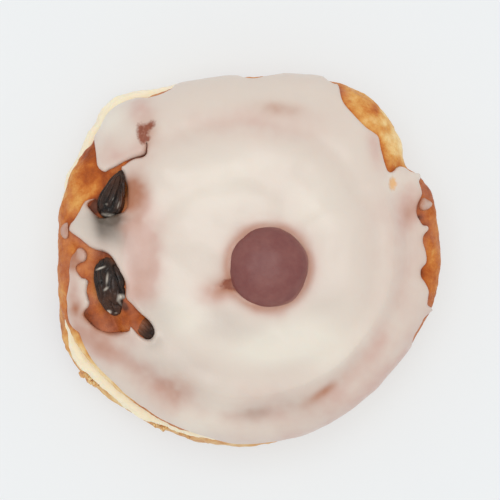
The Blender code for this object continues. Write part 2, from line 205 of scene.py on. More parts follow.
# %% Food lets light in
def food(name, shine, scatter, spread, coat=(0.0, 0.03)):
    """A finish that light enters: its red, green and blue spread by so many mm before they come out."""
    return Finish(name, {
        "Specular IOR Level": shine, "Coat Weight": coat[0], "Coat Roughness": coat[1],
        "Subsurface Weight": scatter, "Subsurface Scale": MM, "Subsurface Radius": spread})

# %% The floor
FLOOR_SIDE = 6.0
FLOOR_DROP = 0.00002
FLOOR_CLOUD = 60.0

floor_look = Finish("floor", {"Roughness": 0.8, "Specular IOR Level": 0.1, "Emission Strength": 0.6,
                              "Emission Color": (*paint(241, 243, 244), 1.0)})
floor_look.feed(floor_look.shader.inputs["Base Color"], floor_look.mix(
    floor_look.speckle(FLOOR_CLOUD), paint(151, 154, 157), paint(155, 158, 160)))
bpy.ops.mesh.primitive_plane_add(size=FLOOR_SIDE, location=(0.0, 0.0, -FLOOR_DROP))
floor = bpy.context.object
floor.name = "floor"
floor.data.materials.append(floor_look.material)
print(f"floor {FLOOR_SIDE} m wide")

# %% [markdown]
# ## The bun's own curves
# The solids were drawn from a few radii and profiles, in a plan whose x and y are as seen from
# above. The same curves are written out again here, in millimetres, so that each fine mesh lies
# where its solid lies. Only `add_piece` and `seen` know where the plan sits in the frame.

# %% Outlines
PLAN_MIDDLE = np.array([-0.41, 0.50, 0.0])
TAIL_ANGLE = math.radians(36.0)          # where the loose end of the rolled dough lies


def outline(pairs):
    """Radii a degree apart on a smooth closed curve through (degree, radius in mm) pairs."""
    degrees, radii = zip(*pairs)
    even = np.interp(np.arange(360), degrees, radii, period=360)
    for _ in range(4):
        even = 0.5 * even + 0.25 * (np.roll(even, 1) + np.roll(even, -1))
    return even


TOP_RIM = outline([
    (0, 53.15), (6, 53.3), (12, 53.4), (16, 53.7), (21, 54.4), (24, 53.6), (28, 52.8), (30.5, 51.8),
    (32.5, 51.2), (34.5, 51.9), (36.5, 52.8), (38.5, 53.6), (42, 54.6), (45, 55.3), (50, 56.2), (54, 56.5),
    (60, 56), (70, 54.4), (80, 52.4), (90, 51.2), (100, 51.4), (110, 52.4), (118, 53), (122, 53.4),
    (126, 55), (129, 55.9), (132, 56.5), (135, 56), (138, 54.8), (143, 54.4), (148, 55), (154, 55.2),
    (160, 54.2), (164, 54.5), (170, 53.6), (178, 52.9), (185, 53.1), (191, 53.6), (196, 53.7), (200, 53),
    (205, 52.7), (210, 52), (217, 51.4), (222, 50.7), (232, 50.1), (240, 50.3), (246, 50), (254, 49.1),
    (260, 49.2), (267, 49.6), (277, 49.7), (287, 49.7), (293, 49.2), (300, 48.8), (310, 48.7), (320, 49),
    (326, 49.5), (334, 50.3), (340, 51), (346, 52.1), (352, 52.95)])
BASE_RIM = outline([
    (0, 50.5), (30, 51), (45, 52.7), (60, 53.5), (75, 51.6), (90, 49.7), (105, 51.4), (120, 53.8),
    (135, 54.6), (150, 54.4), (165, 53.4), (180, 52.8), (187, 53.4), (194, 54.4), (199, 55.3), (203, 56.4),
    (208, 56.9), (214, 56.3), (218, 55.2), (222, 54.4), (226, 54), (230, 53.8), (236, 53.1), (240, 52.5),
    (245, 52), (250, 52), (256, 52), (262, 51.7), (270, 51.5), (277, 50.8), (283, 50), (290, 49.4),
    (300, 48.8), (315, 48.4), (330, 48.9), (345, 49.7)])
CREAM_RIM = outline([
    (0, 50), (30, 50), (45, 51.6), (60, 52.5), (75, 50.9), (90, 49.6), (105, 51.8), (115, 53.6),
    (121, 55.3), (125, 58), (128, 58.9), (132, 59.1), (135, 58.4), (138, 57.6), (142, 57.2), (147, 56.3),
    (150, 56.3), (154, 56.2), (159, 54.9), (163, 53.9), (170, 53), (180, 52), (190, 52.3), (198, 53.3),
    (202, 54.2), (206, 55), (211, 55.4), (215, 54), (220, 53.7), (225, 53.1), (233, 52.3), (237, 52),
    (241, 51.5), (247, 50.7), (255, 50.2), (270, 50.1), (285, 49.3), (300, 48.3), (330, 48.4), (345, 49.2)])


def spline(a, b, c, d, f):
    """A smooth curve from b to c, which a and d steer."""
    return b + 0.5 * f * (c - a + f * (2 * a - 5 * b + 4 * c - d + f * (3 * (b - c) + d - a)))


def around(radii, angle):
    """The radius at an angle, on the smooth closed curve through evenly spaced radii."""
    place = np.asarray(angle) / TAU * len(radii)
    first = np.floor(place).astype(int)
    near = [radii[(first + shift) % len(radii)] for shift in (-1, 0, 1, 2)]
    return spline(*near, place - first)


def top_rim(angle):
    return around(TOP_RIM, angle)


print(f"rim from {TOP_RIM.min():.1f} to {TOP_RIM.max():.1f} mm from the middle")

# %% Places, humps and noise
def polar(radius, angle):
    """Places (x, y) at a distance and an angle from the middle."""
    return np.column_stack([radius * np.cos(angle), radius * np.sin(angle)])


def from_middle(points):
    """The distances and the angles of points from the middle, as seen from above."""
    return np.hypot(points[:, 0], points[:, 1]), np.arctan2(points[:, 1], points[:, 0])


def held(values):
    return np.clip(values, 0.0, 1.0)


def hump(x, height, middle, width):
    """A smooth hump as x passes the middle."""
    return height * np.exp(-((x - middle) / width) ** 2)


def bump_at(angle, height, middle, width):
    """A smooth hump in the angle around the bun."""
    return hump((np.asarray(angle) - middle + math.pi) % TAU - math.pi, height, 0.0, width)


def lumps(x, y, size, seed, waves=7):
    """The dough's slow swells, height about 1: the same few waves that the solids have."""
    rng = np.random.default_rng(seed)
    total = np.zeros_like(x)
    for _ in range(waves):
        heading, phase = rng.uniform(0.0, TAU, 2)
        number = TAU / (size * rng.uniform(0.7, 1.5))
        total += np.sin(number * (x * math.cos(heading) + y * math.sin(heading)) + phase)
    return total / math.sqrt(waves)


def ripple(points, size, seed, octaves=2):
    """Random heights of about -1 to 1 at points in space, with swells of about one size."""
    places = points / size + np.random.default_rng(seed).uniform(10.0, 90.0, 3)
    return 2.0 * np.array([noise.fractal(place, 1.0, 2.0, octaves) for place in places.tolist()])


def ripples(points, layers):
    """The sum of several ripples, each given as its height, its size in mm, its seed and its octaves."""
    return sum(height * ripple(points, *layer) for height, *layer in layers)

# %% One way to turn points into a piece
def add_piece(name, points, faces, finish, nodes, shares):
    """Makes a smooth-shaded mesh of plan points in mm, rides it on the bun and hides the solids it replaces.
    """
    mesh = bpy.data.meshes.new(name)
    mesh.from_pydata(((points - PLAN_MIDDLE) * MM).tolist(), [], [list(map(int, face)) for face in faces])
    mesh.update()
    mesh.shade_smooth()
    mesh.materials.append(finish.material)
    for share, values in shares.items():
        attribute = mesh.attributes.new(share, "FLOAT", "POINT")
        attribute.data.foreach_set("value", np.asarray(values, np.float32))
    piece = bpy.data.objects.new(name, mesh)
    scene.collection.objects.link(piece)
    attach(piece, "root")
    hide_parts(*nodes)
    print(f"{name}: {len(points)} points, {sum(len(face) - 2 for face in faces)} triangles")

# %% [markdown]
# ## The dough's surface as a chart
# The top half is a dome with a steep edge, and its crust, its crevice and its icing all follow
# that one surface. So it is rolled out flat: a chart place (x, y) has a reach, its distance from
# the middle over the rim's radius there. Reach 0 to 1 is the dome, and on to REACH_CUT the
# surface runs down the side to the knife's cut. A second, even chart stretches the steep edge so
# that a step on it is the same step on the bun: triangles drawn there come out alike in size.

# %% From the chart to the dome
BASE_HEIGHT = 17.0
CREAM_HEIGHT = 6.5
CREAM_WEDGE = -0.045
GAP = 0.3
SIDE_HEIGHT = 5.0
DOME_HEIGHT = 18.0
DOME_POWER = 2.8
REACH_CUT = 1.12
SIDE_TUCK = 0.03


def reach_of(points):
    distance, angle = from_middle(points)
    return distance / top_rim(angle), angle


def lid_lift(x):
    """Height of the top half's cut face, which leans with the wedge of cream under it."""
    return BASE_HEIGHT + CREAM_HEIGHT + CREAM_WEDGE * x + 2 * GAP


def down_side(reach):
    return held((reach - 1.0) / (REACH_CUT - 1.0))


def smooth_crust(points):
    """Chart places to points on the top half before the crevice and the lumps are pressed in."""
    reach, angle = reach_of(points)
    over = held(reach)
    down = down_side(reach)
    plan = polar(top_rim(angle) * over * (1.0 - SIDE_TUCK * down ** 2), angle)
    height = DOME_HEIGHT * np.sqrt(1.0 - over ** DOME_POWER) + SIDE_HEIGHT * (1.0 - down)
    return np.column_stack([plan, height + lid_lift(plan[:, 0])])

# %% The even chart
EVEN_RADIUS = 52.5
lean = np.linspace(0.0, math.pi / 2, 600)
dome_reach = np.sin(lean) ** (2.0 / DOME_POWER)
side_reach = np.linspace(1.0, REACH_CUT, 40)[1:]
EVEN_REACH = np.concatenate([dome_reach, side_reach])
side_down = down_side(side_reach)
out = np.concatenate([dome_reach, 1.0 - SIDE_TUCK * side_down ** 2]) * EVEN_RADIUS
fall = np.concatenate([DOME_HEIGHT * (1.0 - np.cos(lean)), DOME_HEIGHT + SIDE_HEIGHT * side_down])
EVEN_RUN = np.concatenate([[0.0], np.cumsum(np.hypot(np.diff(out), np.diff(fall)))])


def to_even(points):
    reach, angle = reach_of(points)
    return polar(np.interp(reach, EVEN_REACH, EVEN_RUN) * top_rim(angle) / EVEN_RADIUS, angle)


def from_even(points):
    run, angle = from_middle(points)
    rim = top_rim(angle)
    return polar(np.interp(run * EVEN_RADIUS / rim, EVEN_RUN, EVEN_REACH) * rim, angle)


print(f"from the middle to the cut the crust runs {EVEN_RUN[-1]:.1f} mm")

# %% Which way the crust faces
NUDGE = 0.05


def crust_frame(even):
    """Chart places, points and normals of the smooth crust at places on the even chart."""
    plan = from_even(even)
    east, north = [smooth_crust(from_even(even + step)) - smooth_crust(from_even(even - step))
                   for step in ([NUDGE, 0.0], [0.0, NUDGE])]
    normal = np.cross(east, north)
    return plan, smooth_crust(plan), normal / np.linalg.norm(normal, axis=1)[:, None]

# %% Places as the picture shows them
ICING_THIN = 0.7


def seen(places):
    """Chart places of things seen from above: the higher one stands, the further out the lens shows it."""
    places = np.asarray(places, float)
    middle = np.array(PICTURE_MIDDLE) / MM + PLAN_MIDDLE
    share = 1.0 - (smooth_crust(places)[:, 2:] + ICING_THIN - middle[2]) / (CAMERA_RISE / MM)
    return middle[:2] + (places - middle[:2]) * share


print("a place 40 mm out seen at", seen([(40.0, 0.0)])[0].round(2))

# %% [markdown]
# ## Curves on the chart
# Two lines matter: the spiral crevice, where one turn of the dough meets the next, and the edge
# of the icing. Both are smooth curves through given points, so two helpers draw such a
# curve and space points evenly along it. Distances to a line come from a k-d tree, which finds
# the nearest of many points quickly.

# %% Smooth curves and distances to them
CURVE_PARTS = 12                         # points from one corner of a curve to the next
TREE_STEP = 0.1


def smooth_curve(corners, closed):
    """Close points on the smooth curve through the corners."""
    corners = np.asarray(corners, float)
    count = len(corners)
    curve = []
    for i in range(count if closed else count - 1):
        near = [(i + shift) % count if closed else min(max(i + shift, 0), count - 1)
                for shift in (-1, 0, 1, 2)]
        curve.extend(spline(*corners[near], part / CURVE_PARTS) for part in range(CURVE_PARTS))
    curve.append(curve[0] if closed else corners[-1])
    return np.array(curve)


def even_steps(line, step):
    """The same line with its points spaced evenly, about one step apart."""
    run = np.concatenate([[0.0], np.cumsum(np.linalg.norm(np.diff(line, axis=0), axis=1))])
    places = np.linspace(0.0, run[-1], max(2, round(run[-1] / step) + 1))
    return np.column_stack([np.interp(places, run, column) for column in line.T])


def nearest(points, line):
    """Distance from each chart place to a line, and how far along the line it is closest."""
    close = even_steps(line, TREE_STEP)
    tree = KDTree(len(close))
    for i, place in enumerate(close):
        tree.insert((*place, 0.0), i)
    tree.balance()
    found = [tree.find((*place, 0.0)) for place in points]
    return np.array([hit[2] for hit in found]), TREE_STEP * np.array([hit[1] for hit in found])


def edge_gap(points, loop):
    """Distance from each chart place to a closed loop."""
    return nearest(points, np.vstack([loop, loop[:1]]))[0]


def leftward(along):
    """Unit steps to the left of each of these directions."""
    return np.column_stack([-along[:, 1], along[:, 0]]) / np.linalg.norm(along, axis=1)[:, None]

# %% Soft patches
def patches(plan, spots):
    """The sum of soft oval spots: place, half length and half width in mm, heading in degrees, amount."""
    total = np.zeros(len(plan))
    for x, y, long, wide, heading, amount in spots:
        turn = math.radians(heading)
        away = plan - [x, y]
        along = away @ [math.cos(turn), math.sin(turn)]
        across = away @ [-math.sin(turn), math.cos(turn)]
        total += amount * np.exp(-(along / long) ** 2 - (across / wide) ** 2)
    return total

# %% The spiral crevice
# Turns in from the loose end, and the radius there in mm.
CREVICE = [
    (0.012, 53), (0.015, 50.5), (0.022, 48.2), (0.045, 46.2), (0.09, 44.6), (0.14, 43), (0.2, 41.2),
    (0.28, 40.8), (0.36, 41.8), (0.46, 41.8), (0.6, 41), (0.75, 40.3), (1, 36.5), (1.25, 33), (1.55, 30),
    (1.75, 25), (2, 19.5), (2.25, 14)]
CREVICE_DEPTH = 3.6
CREVICE_SPREAD = 2.3
CREVICE_STEP = 0.5
CREVICE_ROUND = 0.6
CREVICE_FADE = 0.8
FADE_FROM = 0.9                          # the reach where swells and crevice begin to fade
SWELL_FADE = 0.7
SWELL_HEIGHT = 0.45
SWELL_SIZE = 26.0
DOUGH_LIP = (-31.2, -15.3, 3.4, 2.6, -45, 2.3)      # a fold of dough over the end of the third sultana

turns = np.linspace(CREVICE[0][0], CREVICE[-1][0], 900)
coil_angle = TAIL_ANGLE - TAU * turns
coil = polar(np.interp(turns, *zip(*CREVICE)), coil_angle)
foot = polar(REACH_CUT * top_rim(coil_angle[:1]), coil_angle[:1])
crevice = even_steps(smooth_curve(np.vstack([foot, coil[::8]]), False), CREVICE_STEP)
print(f"the crevice is {len(crevice) * CREVICE_STEP:.0f} mm long")


def near_rim(plan):
    """0 on the dome, rising to 1 at the rim and past it."""
    return held((reach_of(plan)[0] - FADE_FROM) / (1.0 - FADE_FROM))


def crevice_left(plan):
    """The share of the crevice's depth at a place: it fades towards the rim and down the side."""
    return 1.0 - CREVICE_FADE * near_rim(plan)


def dough_swells(plan):
    """Slow swells, which die out at the rim, because the rim's own curve was measured."""
    swell = SWELL_HEIGHT * lumps(plan[:, 0], plan[:, 1], SWELL_SIZE, 3)
    return swell * (1.0 - SWELL_FADE * near_rim(plan)) + patches(plan, [DOUGH_LIP])


def crust_relief(plan):
    """How far the dough stands out from the smooth form: slow swells, less the spiral crevice."""
    distance = np.hypot(nearest(plan, crevice)[0], CREVICE_ROUND) - CREVICE_ROUND
    return dough_swells(plan) - CREVICE_DEPTH * crevice_left(plan) * np.exp(-distance / CREVICE_SPREAD)

# %% [markdown]
# ## Where the icing ends
# The icing was poured on and ran to the rim, and over it in places, but it left bare crust at
# the right and two bays at the left, where the sultanas lie. The corners are places in
# millimetres, as seen from above. Along the rim the edge is an angle and a reach instead, with
# a few drips.

# %% The edge at the right and in the two bays
RIGHT_EDGE = [
    (50.5, -12.9), (49.4, -11.7), (49.5, -10.3), (49.9, -7.9), (49.1, -5.6), (48.3, -4.3), (48.1, -3.1),
    (48.3, -1.8), (49.3, -0.2), (49.4, 1.5), (49.1, 3.5), (48.6, 5.7), (48.8, 7.5), (49.8, 9), (49.6, 10.2),
    (48.6, 10.5), (47.9, 11.9), (47.4, 13.1), (47.2, 14.8), (47.4, 16.7), (48, 18.8), (47.7, 20.6),
    (47.2, 22.3), (47.5, 23.4), (46.8, 24.6), (45.7, 25), (44.5, 25.6), (43.3, 26.5), (42.1, 26.8),
    (41.1, 26.4), (40.2, 25.5), (39.1, 25), (38.1, 25.6), (37.2, 27.9), (36.3, 31.4), (35.6, 34.6),
    (34.1, 36), (32.2, 37.4), (29.2, 40.6), (26, 44.6)]
UPPER_BAY = [
    (-42.7, 34.6), (-42.4, 29.5), (-42.2, 27), (-41.3, 25.8), (-40.1, 25.3), (-38.9, 26), (-37.2, 26.8)]
SLIT = [
    (-35, 27.6), (-33.8, 28.3), (-32.6, 28.9), (-31.4, 29.3), (-30, 29.7), (-29, 30.4), (-28.6, 31.6),
    (-28.4, 33)]
SLIT_HALVES = [0.4, 0.25, 0.15, 0.11, 0.17, 0.11, 0.06, 0.04]
BESIDE_FIRST = [
    (-35.7, 26.6), (-35.4, 24.7), (-34.9, 22.7), (-34.4, 21), (-34.2, 19.8), (-34, 18.4), (-33.9, 16.8),
    (-34.1, 15.2), (-35, 14), (-36.7, 13.7), (-38.7, 13.2), (-40.6, 12.7), (-41.9, 12.7), (-43, 13.5),
    (-44.1, 14.8), (-44.7, 15.8), (-44.1, 16.8), (-42.8, 17.7), (-44.2, 17.5), (-45.2, 17), (-46, 15.8),
    (-46.7, 14.3), (-47.4, 13.1), (-48.4, 11.7), (-49.4, 10.6)]
LOWER_BAY = [
    (-49.8, 8.9), (-48.6, 7.8), (-46.7, 6.4), (-44.8, 4.6), (-43.5, 3.7), (-41.9, 3.1), (-39.9, 2.6),
    (-38.5, 1.8), (-37.2, 0.2), (-35.6, -2.5), (-34.5, -4.5), (-34, -6.4), (-34, -8.9), (-33.6, -10.2),
    (-32.5, -11.3), (-31.2, -12.7), (-29.8, -14.2), (-28.3, -15.8), (-27.2, -17.5), (-26.6, -19.3),
    (-26.9, -20.7), (-27.9, -21.3), (-29.5, -20.8), (-30.9, -19.6), (-31.8, -18.3), (-32.5, -17.6),
    (-33.2, -18.9), (-34.7, -19.5), (-36.8, -20), (-38.8, -19.9), (-40.6, -19.3), (-42.4, -18.4),
    (-43.9, -17.3), (-45.2, -15.9), (-46, -14.8), (-45.8, -13.6), (-44.9, -12.5), (-44.6, -11.2),
    (-45, -10), (-45.3, -8.3), (-45.1, -6.6), (-44.9, -5.3), (-45.6, -4.5), (-46.5, -4.3), (-47.4, -3.3),
    (-48, -2.2), (-48, -1.1), (-47.2, -0.3), (-45.7, 0.4), (-45.2, 1.6), (-45.5, 3), (-46.4, 4), (-47.5, 4),
    (-48.1, 3), (-49.1, 1.8), (-49.6, 0.4), (-49.8, -1), (-50, -2.6), (-49.9, -4.6), (-50.4, -7.6),
    (-50.8, -9.8), (-50.6, -11.8), (-50.5, -14), (-49.9, -16.4), (-48.6, -18.2), (-47, -19.5),
    (-46.2, -21.3), (-45.1, -23.5), (-43.8, -25.8), (-42.3, -27.9), (-40.4, -30.1), (-38.3, -32.2),
    (-36.4, -34.2), (-34.4, -36.3), (-32, -38.2), (-30.2, -39.6)]


def both_sides(line, halves):
    """Out along one side of a thin slit and back along the other, given half its width at each point."""
    line = np.array(line)
    across = leftward(np.gradient(line, axis=0)) * np.array(halves)[:, None]
    return [*(line + across), *(line - across)[::-1]]

# %% The edge along the rim, and the whole loop
RIM_TOP = [
    (63, 0.98), (75, 1.01), (88, 0.985), (103, 1.01), (112, 0.995), (118, 0.983), (122, 0.988), (125, 1.01),
    (129, 1.035), (134, 1.025), (141, 1.005)]
RIM_BELOW = [
    (-125.5, 0.985), (-115, 0.985), (-108, 0.99), (-101, 1), (-92, 1.03), (-76, 1.05), (-62, 1.035),
    (-50, 1.06), (-38, 1.03), (-32, 1.04), (-28, 1.01), (-24, 0.983), (-16.5, 0.98)]
# Angle in degrees, further reach, and width in degrees.
DRIPS = [
    (-89.5, 0.05, 1.8), (-71, 0.03, 2.5), (-47, 0.035, 2.2), (-32, 0.04, 2), (70, 0.035, 2.2),
    (96, 0.05, 2.4), (111, 0.03, 1.8)]
RIM_STEP = 1.5
EDGE_STEP = 0.35


def rim_run(pairs):
    """Chart places along the rim, RIM_STEP degrees apart, with the drips."""
    degrees, reaches = zip(*pairs)
    degree = np.arange(degrees[0], degrees[-1], RIM_STEP)
    further = sum(hump(degree, reach, middle, width) for middle, reach, width in DRIPS)
    angle = np.radians(degree)
    return polar((np.interp(degree, degrees, reaches) + further) * top_rim(angle), angle)


def even_loop(corners):
    """The smooth loop through corners on the chart, with even steps on the even chart."""
    return even_steps(to_even(smooth_curve(corners, True)), EDGE_STEP)[:-1]


left_edge = seen(UPPER_BAY + both_sides(SLIT, SLIT_HALVES) + BESIDE_FIRST + LOWER_BAY)
icing_edge = even_loop(np.vstack([seen(RIGHT_EDGE), rim_run(RIM_TOP), left_edge, rim_run(RIM_BELOW)]))
print(f"the icing's edge is {len(icing_edge) * EDGE_STEP:.0f} mm round")

# %% Small pools of icing that stand alone
POOLS = [
    [(-50.2, 11), (-51.2, 10.7), (-51.9, 9.6), (-52, 8.2), (-51.6, 7), (-50.8, 6.5), (-50.2, 7.3),
     (-50.1, 9.2)],
    [(49.2, 17.6), (48.5, 18), (47.9, 17.6), (47.7, 16.4), (47.8, 15.2), (48.4, 14.5), (49.2, 14.5),
     (50.1, 15), (50.7, 16), (50.2, 17)]]
pool_edges = [even_loop(seen(pool)) for pool in POOLS]
print(f"{len(pool_edges)} pools")

# %% [markdown]
# ## Triangles between the curves
# A surface whose edge wanders like this can't be a grid. Blender's own Delaunay triangulation
# takes a loop and loose points inside it, and fills the loop with triangles that are as even
# as can be. The loose points stand in a honeycomb, kept clear of the edge.

# %% Fill a loop with even triangles
AT_A_TIME = 4000                         # places tested in one go, so that the arrays stay small


def honeycomb(step, loop):
    """Points in staggered rows that fill the box round a loop."""
    low, high = loop.min(0), loop.max(0)
    row_height = step * math.sqrt(0.75)
    columns, rows = np.meshgrid(np.arange(low[0], high[0], step), np.arange(low[1], high[1], row_height))
    columns = columns + 0.5 * step * (np.arange(len(rows))[:, None] % 2)
    return np.column_stack([columns.ravel(), rows.ravel()])


def fill(loop, inner):
    """Chart places and triangles inside a closed loop. The loop's own points come first."""
    count = len(loop)
    edges = [(i, (i + 1) % count) for i in range(count)]
    found = delaunay_2d_cdt([Vector(place) for place in np.vstack([loop, inner])], edges, [], 1, 1e-6)
    used, triangles = np.unique(np.array([list(face) for face in found[2]]), return_inverse=True)
    assert (used[:count] == np.arange(count)).all()
    return np.array([tuple(place) for place in found[0]])[used], triangles.reshape(-1, 3)


def inside(points, loop):
    """Which places lie inside a closed loop, by counting the edges crossed to the right."""
    answer = np.zeros(len(points), bool)
    x1, y1 = loop.T
    x2, y2 = np.roll(loop, -1, axis=0).T
    for part in np.array_split(np.arange(len(points)), 1 + len(points) // AT_A_TIME):
        x, y = points[part, :1], points[part, 1:]
        spans = (y1 > y) != (y2 > y)
        crossing = x1 + (y - y1) * (x2 - x1) / np.where(y2 == y1, 1.0, y2 - y1)
        answer[part] = (spans & (x < crossing)).sum(1) % 2 == 1
    return answer

# %% [markdown]
# ## Crust, and the colours of baking
# Baked dough isn't one brown. Where it stood proud in the oven it is chestnut, down the sides
# it is gold, and every few millimetres it changes a little. So the mesh carries one number,
# how far each point is baked, and the material turns that into a colour with a ramp, after
# noise of three sizes has unsettled it. A second number says where the knife bared the crumb,
# and a third where a thin film of sugar dulls the brown.

# %% The crust's finish
CRUST_STOPS = [
    (0.0, paint(248, 222, 172)), (0.2, paint(239, 201, 138)), (0.36, paint(224, 164, 90)),
    (0.52, paint(203, 121, 54)), (0.68, paint(176, 89, 36)), (0.84, paint(144, 68, 32)),
    (1.0, paint(86, 40, 20))]
SUGAR_FILM = paint(200, 152, 134)
CRUMB_COLOURS = (paint(244, 226, 188), paint(226, 190, 140))


def crust_finish(name, gloss, blotches):
    look = food(name, 0.1, 0.06, (1.0, 0.5, 0.25), (gloss, 0.35))
    blotch = look.speckle(7.0, 4.0, 0.6)
    spot = look.speckle(1.3, 4.0, 0.65)
    grain = look.speckle(0.35, 2.0)
    bake = look.share("bake") + blotches * (blotch - 0.5) + 0.4 * (spot - 0.5) + 0.12 * (grain - 0.5)
    brown = look.node("ShaderNodeValToRGB", {"stops": CRUST_STOPS}, {"Fac": bake * 0.8 + 0.2}, "Color")
    brown = look.mix((look.share("film") * (0.6 + 0.8 * blotch)).held(), brown, SUGAR_FILM)
    crumb = look.share("crumb")
    bare = look.mix((spot * 1.6 - 0.3).held(), *CRUMB_COLOURS)
    look.wear(look.mix(crumb, brown, bare), (0.5 + 0.3 * (spot - 0.5) + 0.3 * crumb).held(),
              0.5 * grain + 0.5 * spot, 0.3)
    print(f"{name}: {len(look.tree.nodes)} nodes")
    return look


lid_crust = crust_finish("golden_crust", 0.04, 0.6)
base_crust = crust_finish("base_crust", 0.0, 0.36)

# %% [markdown]
# ## The top half
# Only what shows needs a fine mesh, so the honeycomb is close where the crust is bare and wide
# under the icing. The crust wrinkles as it cools, which is a ripple of a few millimetres and a
# finer one on it. Below, the knife's cut turns in under the rim: rings of torn crumb run inward
# until the cream hides them, and one flat face closes the mesh.

# %% The top half's chart
BARE_STEP = 0.42
HIDDEN_STEP = 2.2
RIM_COUNT = 780
CORE_CLEAR = 2.6                         # the wide honeycomb starts this far in from the icing's edge
BARE_UNDER = 1.6                         # and the close one ends this far in under it
CUT_CLEAR = 0.3

rim_turn = np.linspace(0.0, TAU, RIM_COUNT, endpoint=False)
cut_ring = polar(EVEN_RUN[-1] * top_rim(rim_turn) / EVEN_RADIUS, rim_turn)
core_field = honeycomb(HIDDEN_STEP, cut_ring)
core_field = core_field[inside(core_field, icing_edge) & (edge_gap(core_field, icing_edge) > CORE_CLEAR)]
bare_field = honeycomb(BARE_STEP, cut_ring)
bare_field = bare_field[~inside(bare_field, icing_edge) | (edge_gap(bare_field, icing_edge) < BARE_UNDER)]
bare_field = bare_field[inside(bare_field, cut_ring) & (edge_gap(bare_field, cut_ring) > CUT_CLEAR)]
lid_even, lid_triangles = fill(cut_ring, np.vstack([bare_field, core_field]))
print(f"the top half's chart has {len(lid_even)} places")

# %% How far each place is baked, and where the crust is clean of sugar
# The dark spots at (-33.9, -11.6) and (-34.8, -11.6), by the lower end of the second sultana, are partly
# burnt crust and partly painted shade between sultana and crust. The two along the slit, at (-31.8, 29.2)
# and (-28.5, 32.6), are partly the crust's brown and partly painted shade in the narrow slit.
BAKED = [
    (-44.2, 27, 8.5, 2.8, 78, 0.22), (-43.8, 32, 3, 1.6, 60, 0.06), (-47.2, 23.6, 3.6, 1.6, 70, -0.14),
    (-47.6, 17, 4.6, 2.8, 60, -0.26), (-40.2, 24.2, 3, 2, 40, 0.1), (-40.6, 20.8, 3.4, 1.2, 65, 0.3),
    (-42.3, 15.6, 2.6, 1.8, 60, 0.9), (-33.9, 16.8, 3.4, 0.9, 90, -0.1), (-33.9, -11.6, 1.6, 0.8, -50, 0.5),
    (37.9, 36.6, 1.4, 1.1, 0, 0.24), (-31.8, 29.2, 3.6, 1.1, 20, 0.3), (-28.5, 32.6, 2.6, 1.1, 90, 0.35),
    (-40.4, 2.3, 2.6, 1.3, -15, 0.24), (-43.4, 0.4, 3.2, 2.2, 90, 0.14), (-44, -8, 5, 1, 90, 0.08),
    (-43.2, -14.9, 3.6, 2.6, -20, 0.26), (-37, -17.2, 6, 2.6, 0, 0.2), (-34.8, -11.6, 1.8, 1.2, -40, 0.3),
    (-31.2, -15, 4.5, 2.4, -45, 0.24), (-46.6, -3, 12, 2, 90, 0.04), (47.6, 12.6, 1.2, 0.8, 30, 0.35),
    (47.4, 16.8, 1.6, 0.6, 90, 0.3), (47.6, -3.2, 1.6, 1.4, 0, 0.16), (50.5, 2, 14, 2.6, 90, 0.08),
    (49.6, 3, 3.6, 2, 90, -0.1), (48.5, 20, 4, 1.6, 110, 0.16), (51, 17.4, 3.4, 1, 100, 0.2),
    (34.5, 39.5, 10, 6, 125, -0.4), (34.7, 42.2, 2, 1.4, 100, 0.16), (33.9, 41.6, 1.8, 1.4, 0, 0.2),
    (40, 31, 6, 3.4, 105, -0.28), (42.6, 33, 6, 1.2, 105, -0.26), (43.4, 27.2, 2.2, 0.9, -20, 0.2),
    (-47.6, -22, 5, 3, -60, -0.36), (-42.1, -29, 6, 3, -50, -0.4), (-35.5, -35.5, 6, 3, -44, -0.34),
    (-29.4, 46.4, 1.2, 1, 0, 0.3)]
CLEAN = [
    (-43.5, 24, 10, 6, 75, 0.3), (-44.5, 29.5, 5, 3, 60, 0.2), (38, 34, 13, 8, 115, 0.3),
    (-42, -29, 14, 4, -50, 0.3), (-44.5, 5, 5.5, 2.6, -35, -0.2), (-33.2, 17.6, 3.6, 1.6, 90, -0.24),
    (50.5, -4, 7, 3, 90, 0.2)]
SHOULDER_BROWN = (0.06, 0.9, 0.07)       # amount, reach and width
RIM_PALE = (0.08, 1.0, 0.02)
SUGAR_AND_SHADE_REACH = 0.7


def crust_bake(plan, points, gap):
    """0 is pale gold, 1 is burnt: the shoulder bakes most, the side least, and by the icing's edge the crust
    is darker, partly browned by sugar and partly painted shade of the edge.
    """
    reach, _ = reach_of(plan)
    shoulder = 0.46 + hump(reach, *SHOULDER_BROWN) - hump(reach, *RIM_PALE)
    # painted shade along the icing's edge, together with the sugar that browns the crust there
    beside = 0.14 * np.exp(-gap / SUGAR_AND_SHADE_REACH)
    cloud = ripples(points, [(0.08, 14.0, 21), (0.07, 3.2, 22)])
    return shoulder + beside - 0.14 * down_side(reach) + patches(plan, BAKED) + cloud

# %% The top half's mesh
# How far in from the rim and how far up, in mm.
LID_CUT_ROWS = [
    (0.35, 0.1), (0.8, 0), (1.4, -0.1), (2.2, -0.05), (3.2, 0), (4.6, 0.05), (6.5, 0.05), (9, 0.05)]

lid_plan, lid_smooth, lid_normal = crust_frame(lid_even)
wrinkle = ripples(lid_smooth, [(0.17, 4.6, 31, 3), (0.05, 1.5, 32)])
lid_points = lid_smooth + lid_normal * (crust_relief(lid_plan) + wrinkle)[:, None]
rim_points = lid_points[:RIM_COUNT]
rim_points[:, 2] = lid_lift(rim_points[:, 0]) + 0.25 * ripple(rim_points, 2.2, 33)
lid_bake = crust_bake(lid_plan, lid_smooth, edge_gap(lid_even, icing_edge))
lid_film = held(0.12 + 0.1 * ripple(lid_smooth, 5.0, 35, 3) - patches(lid_plan, CLEAN))


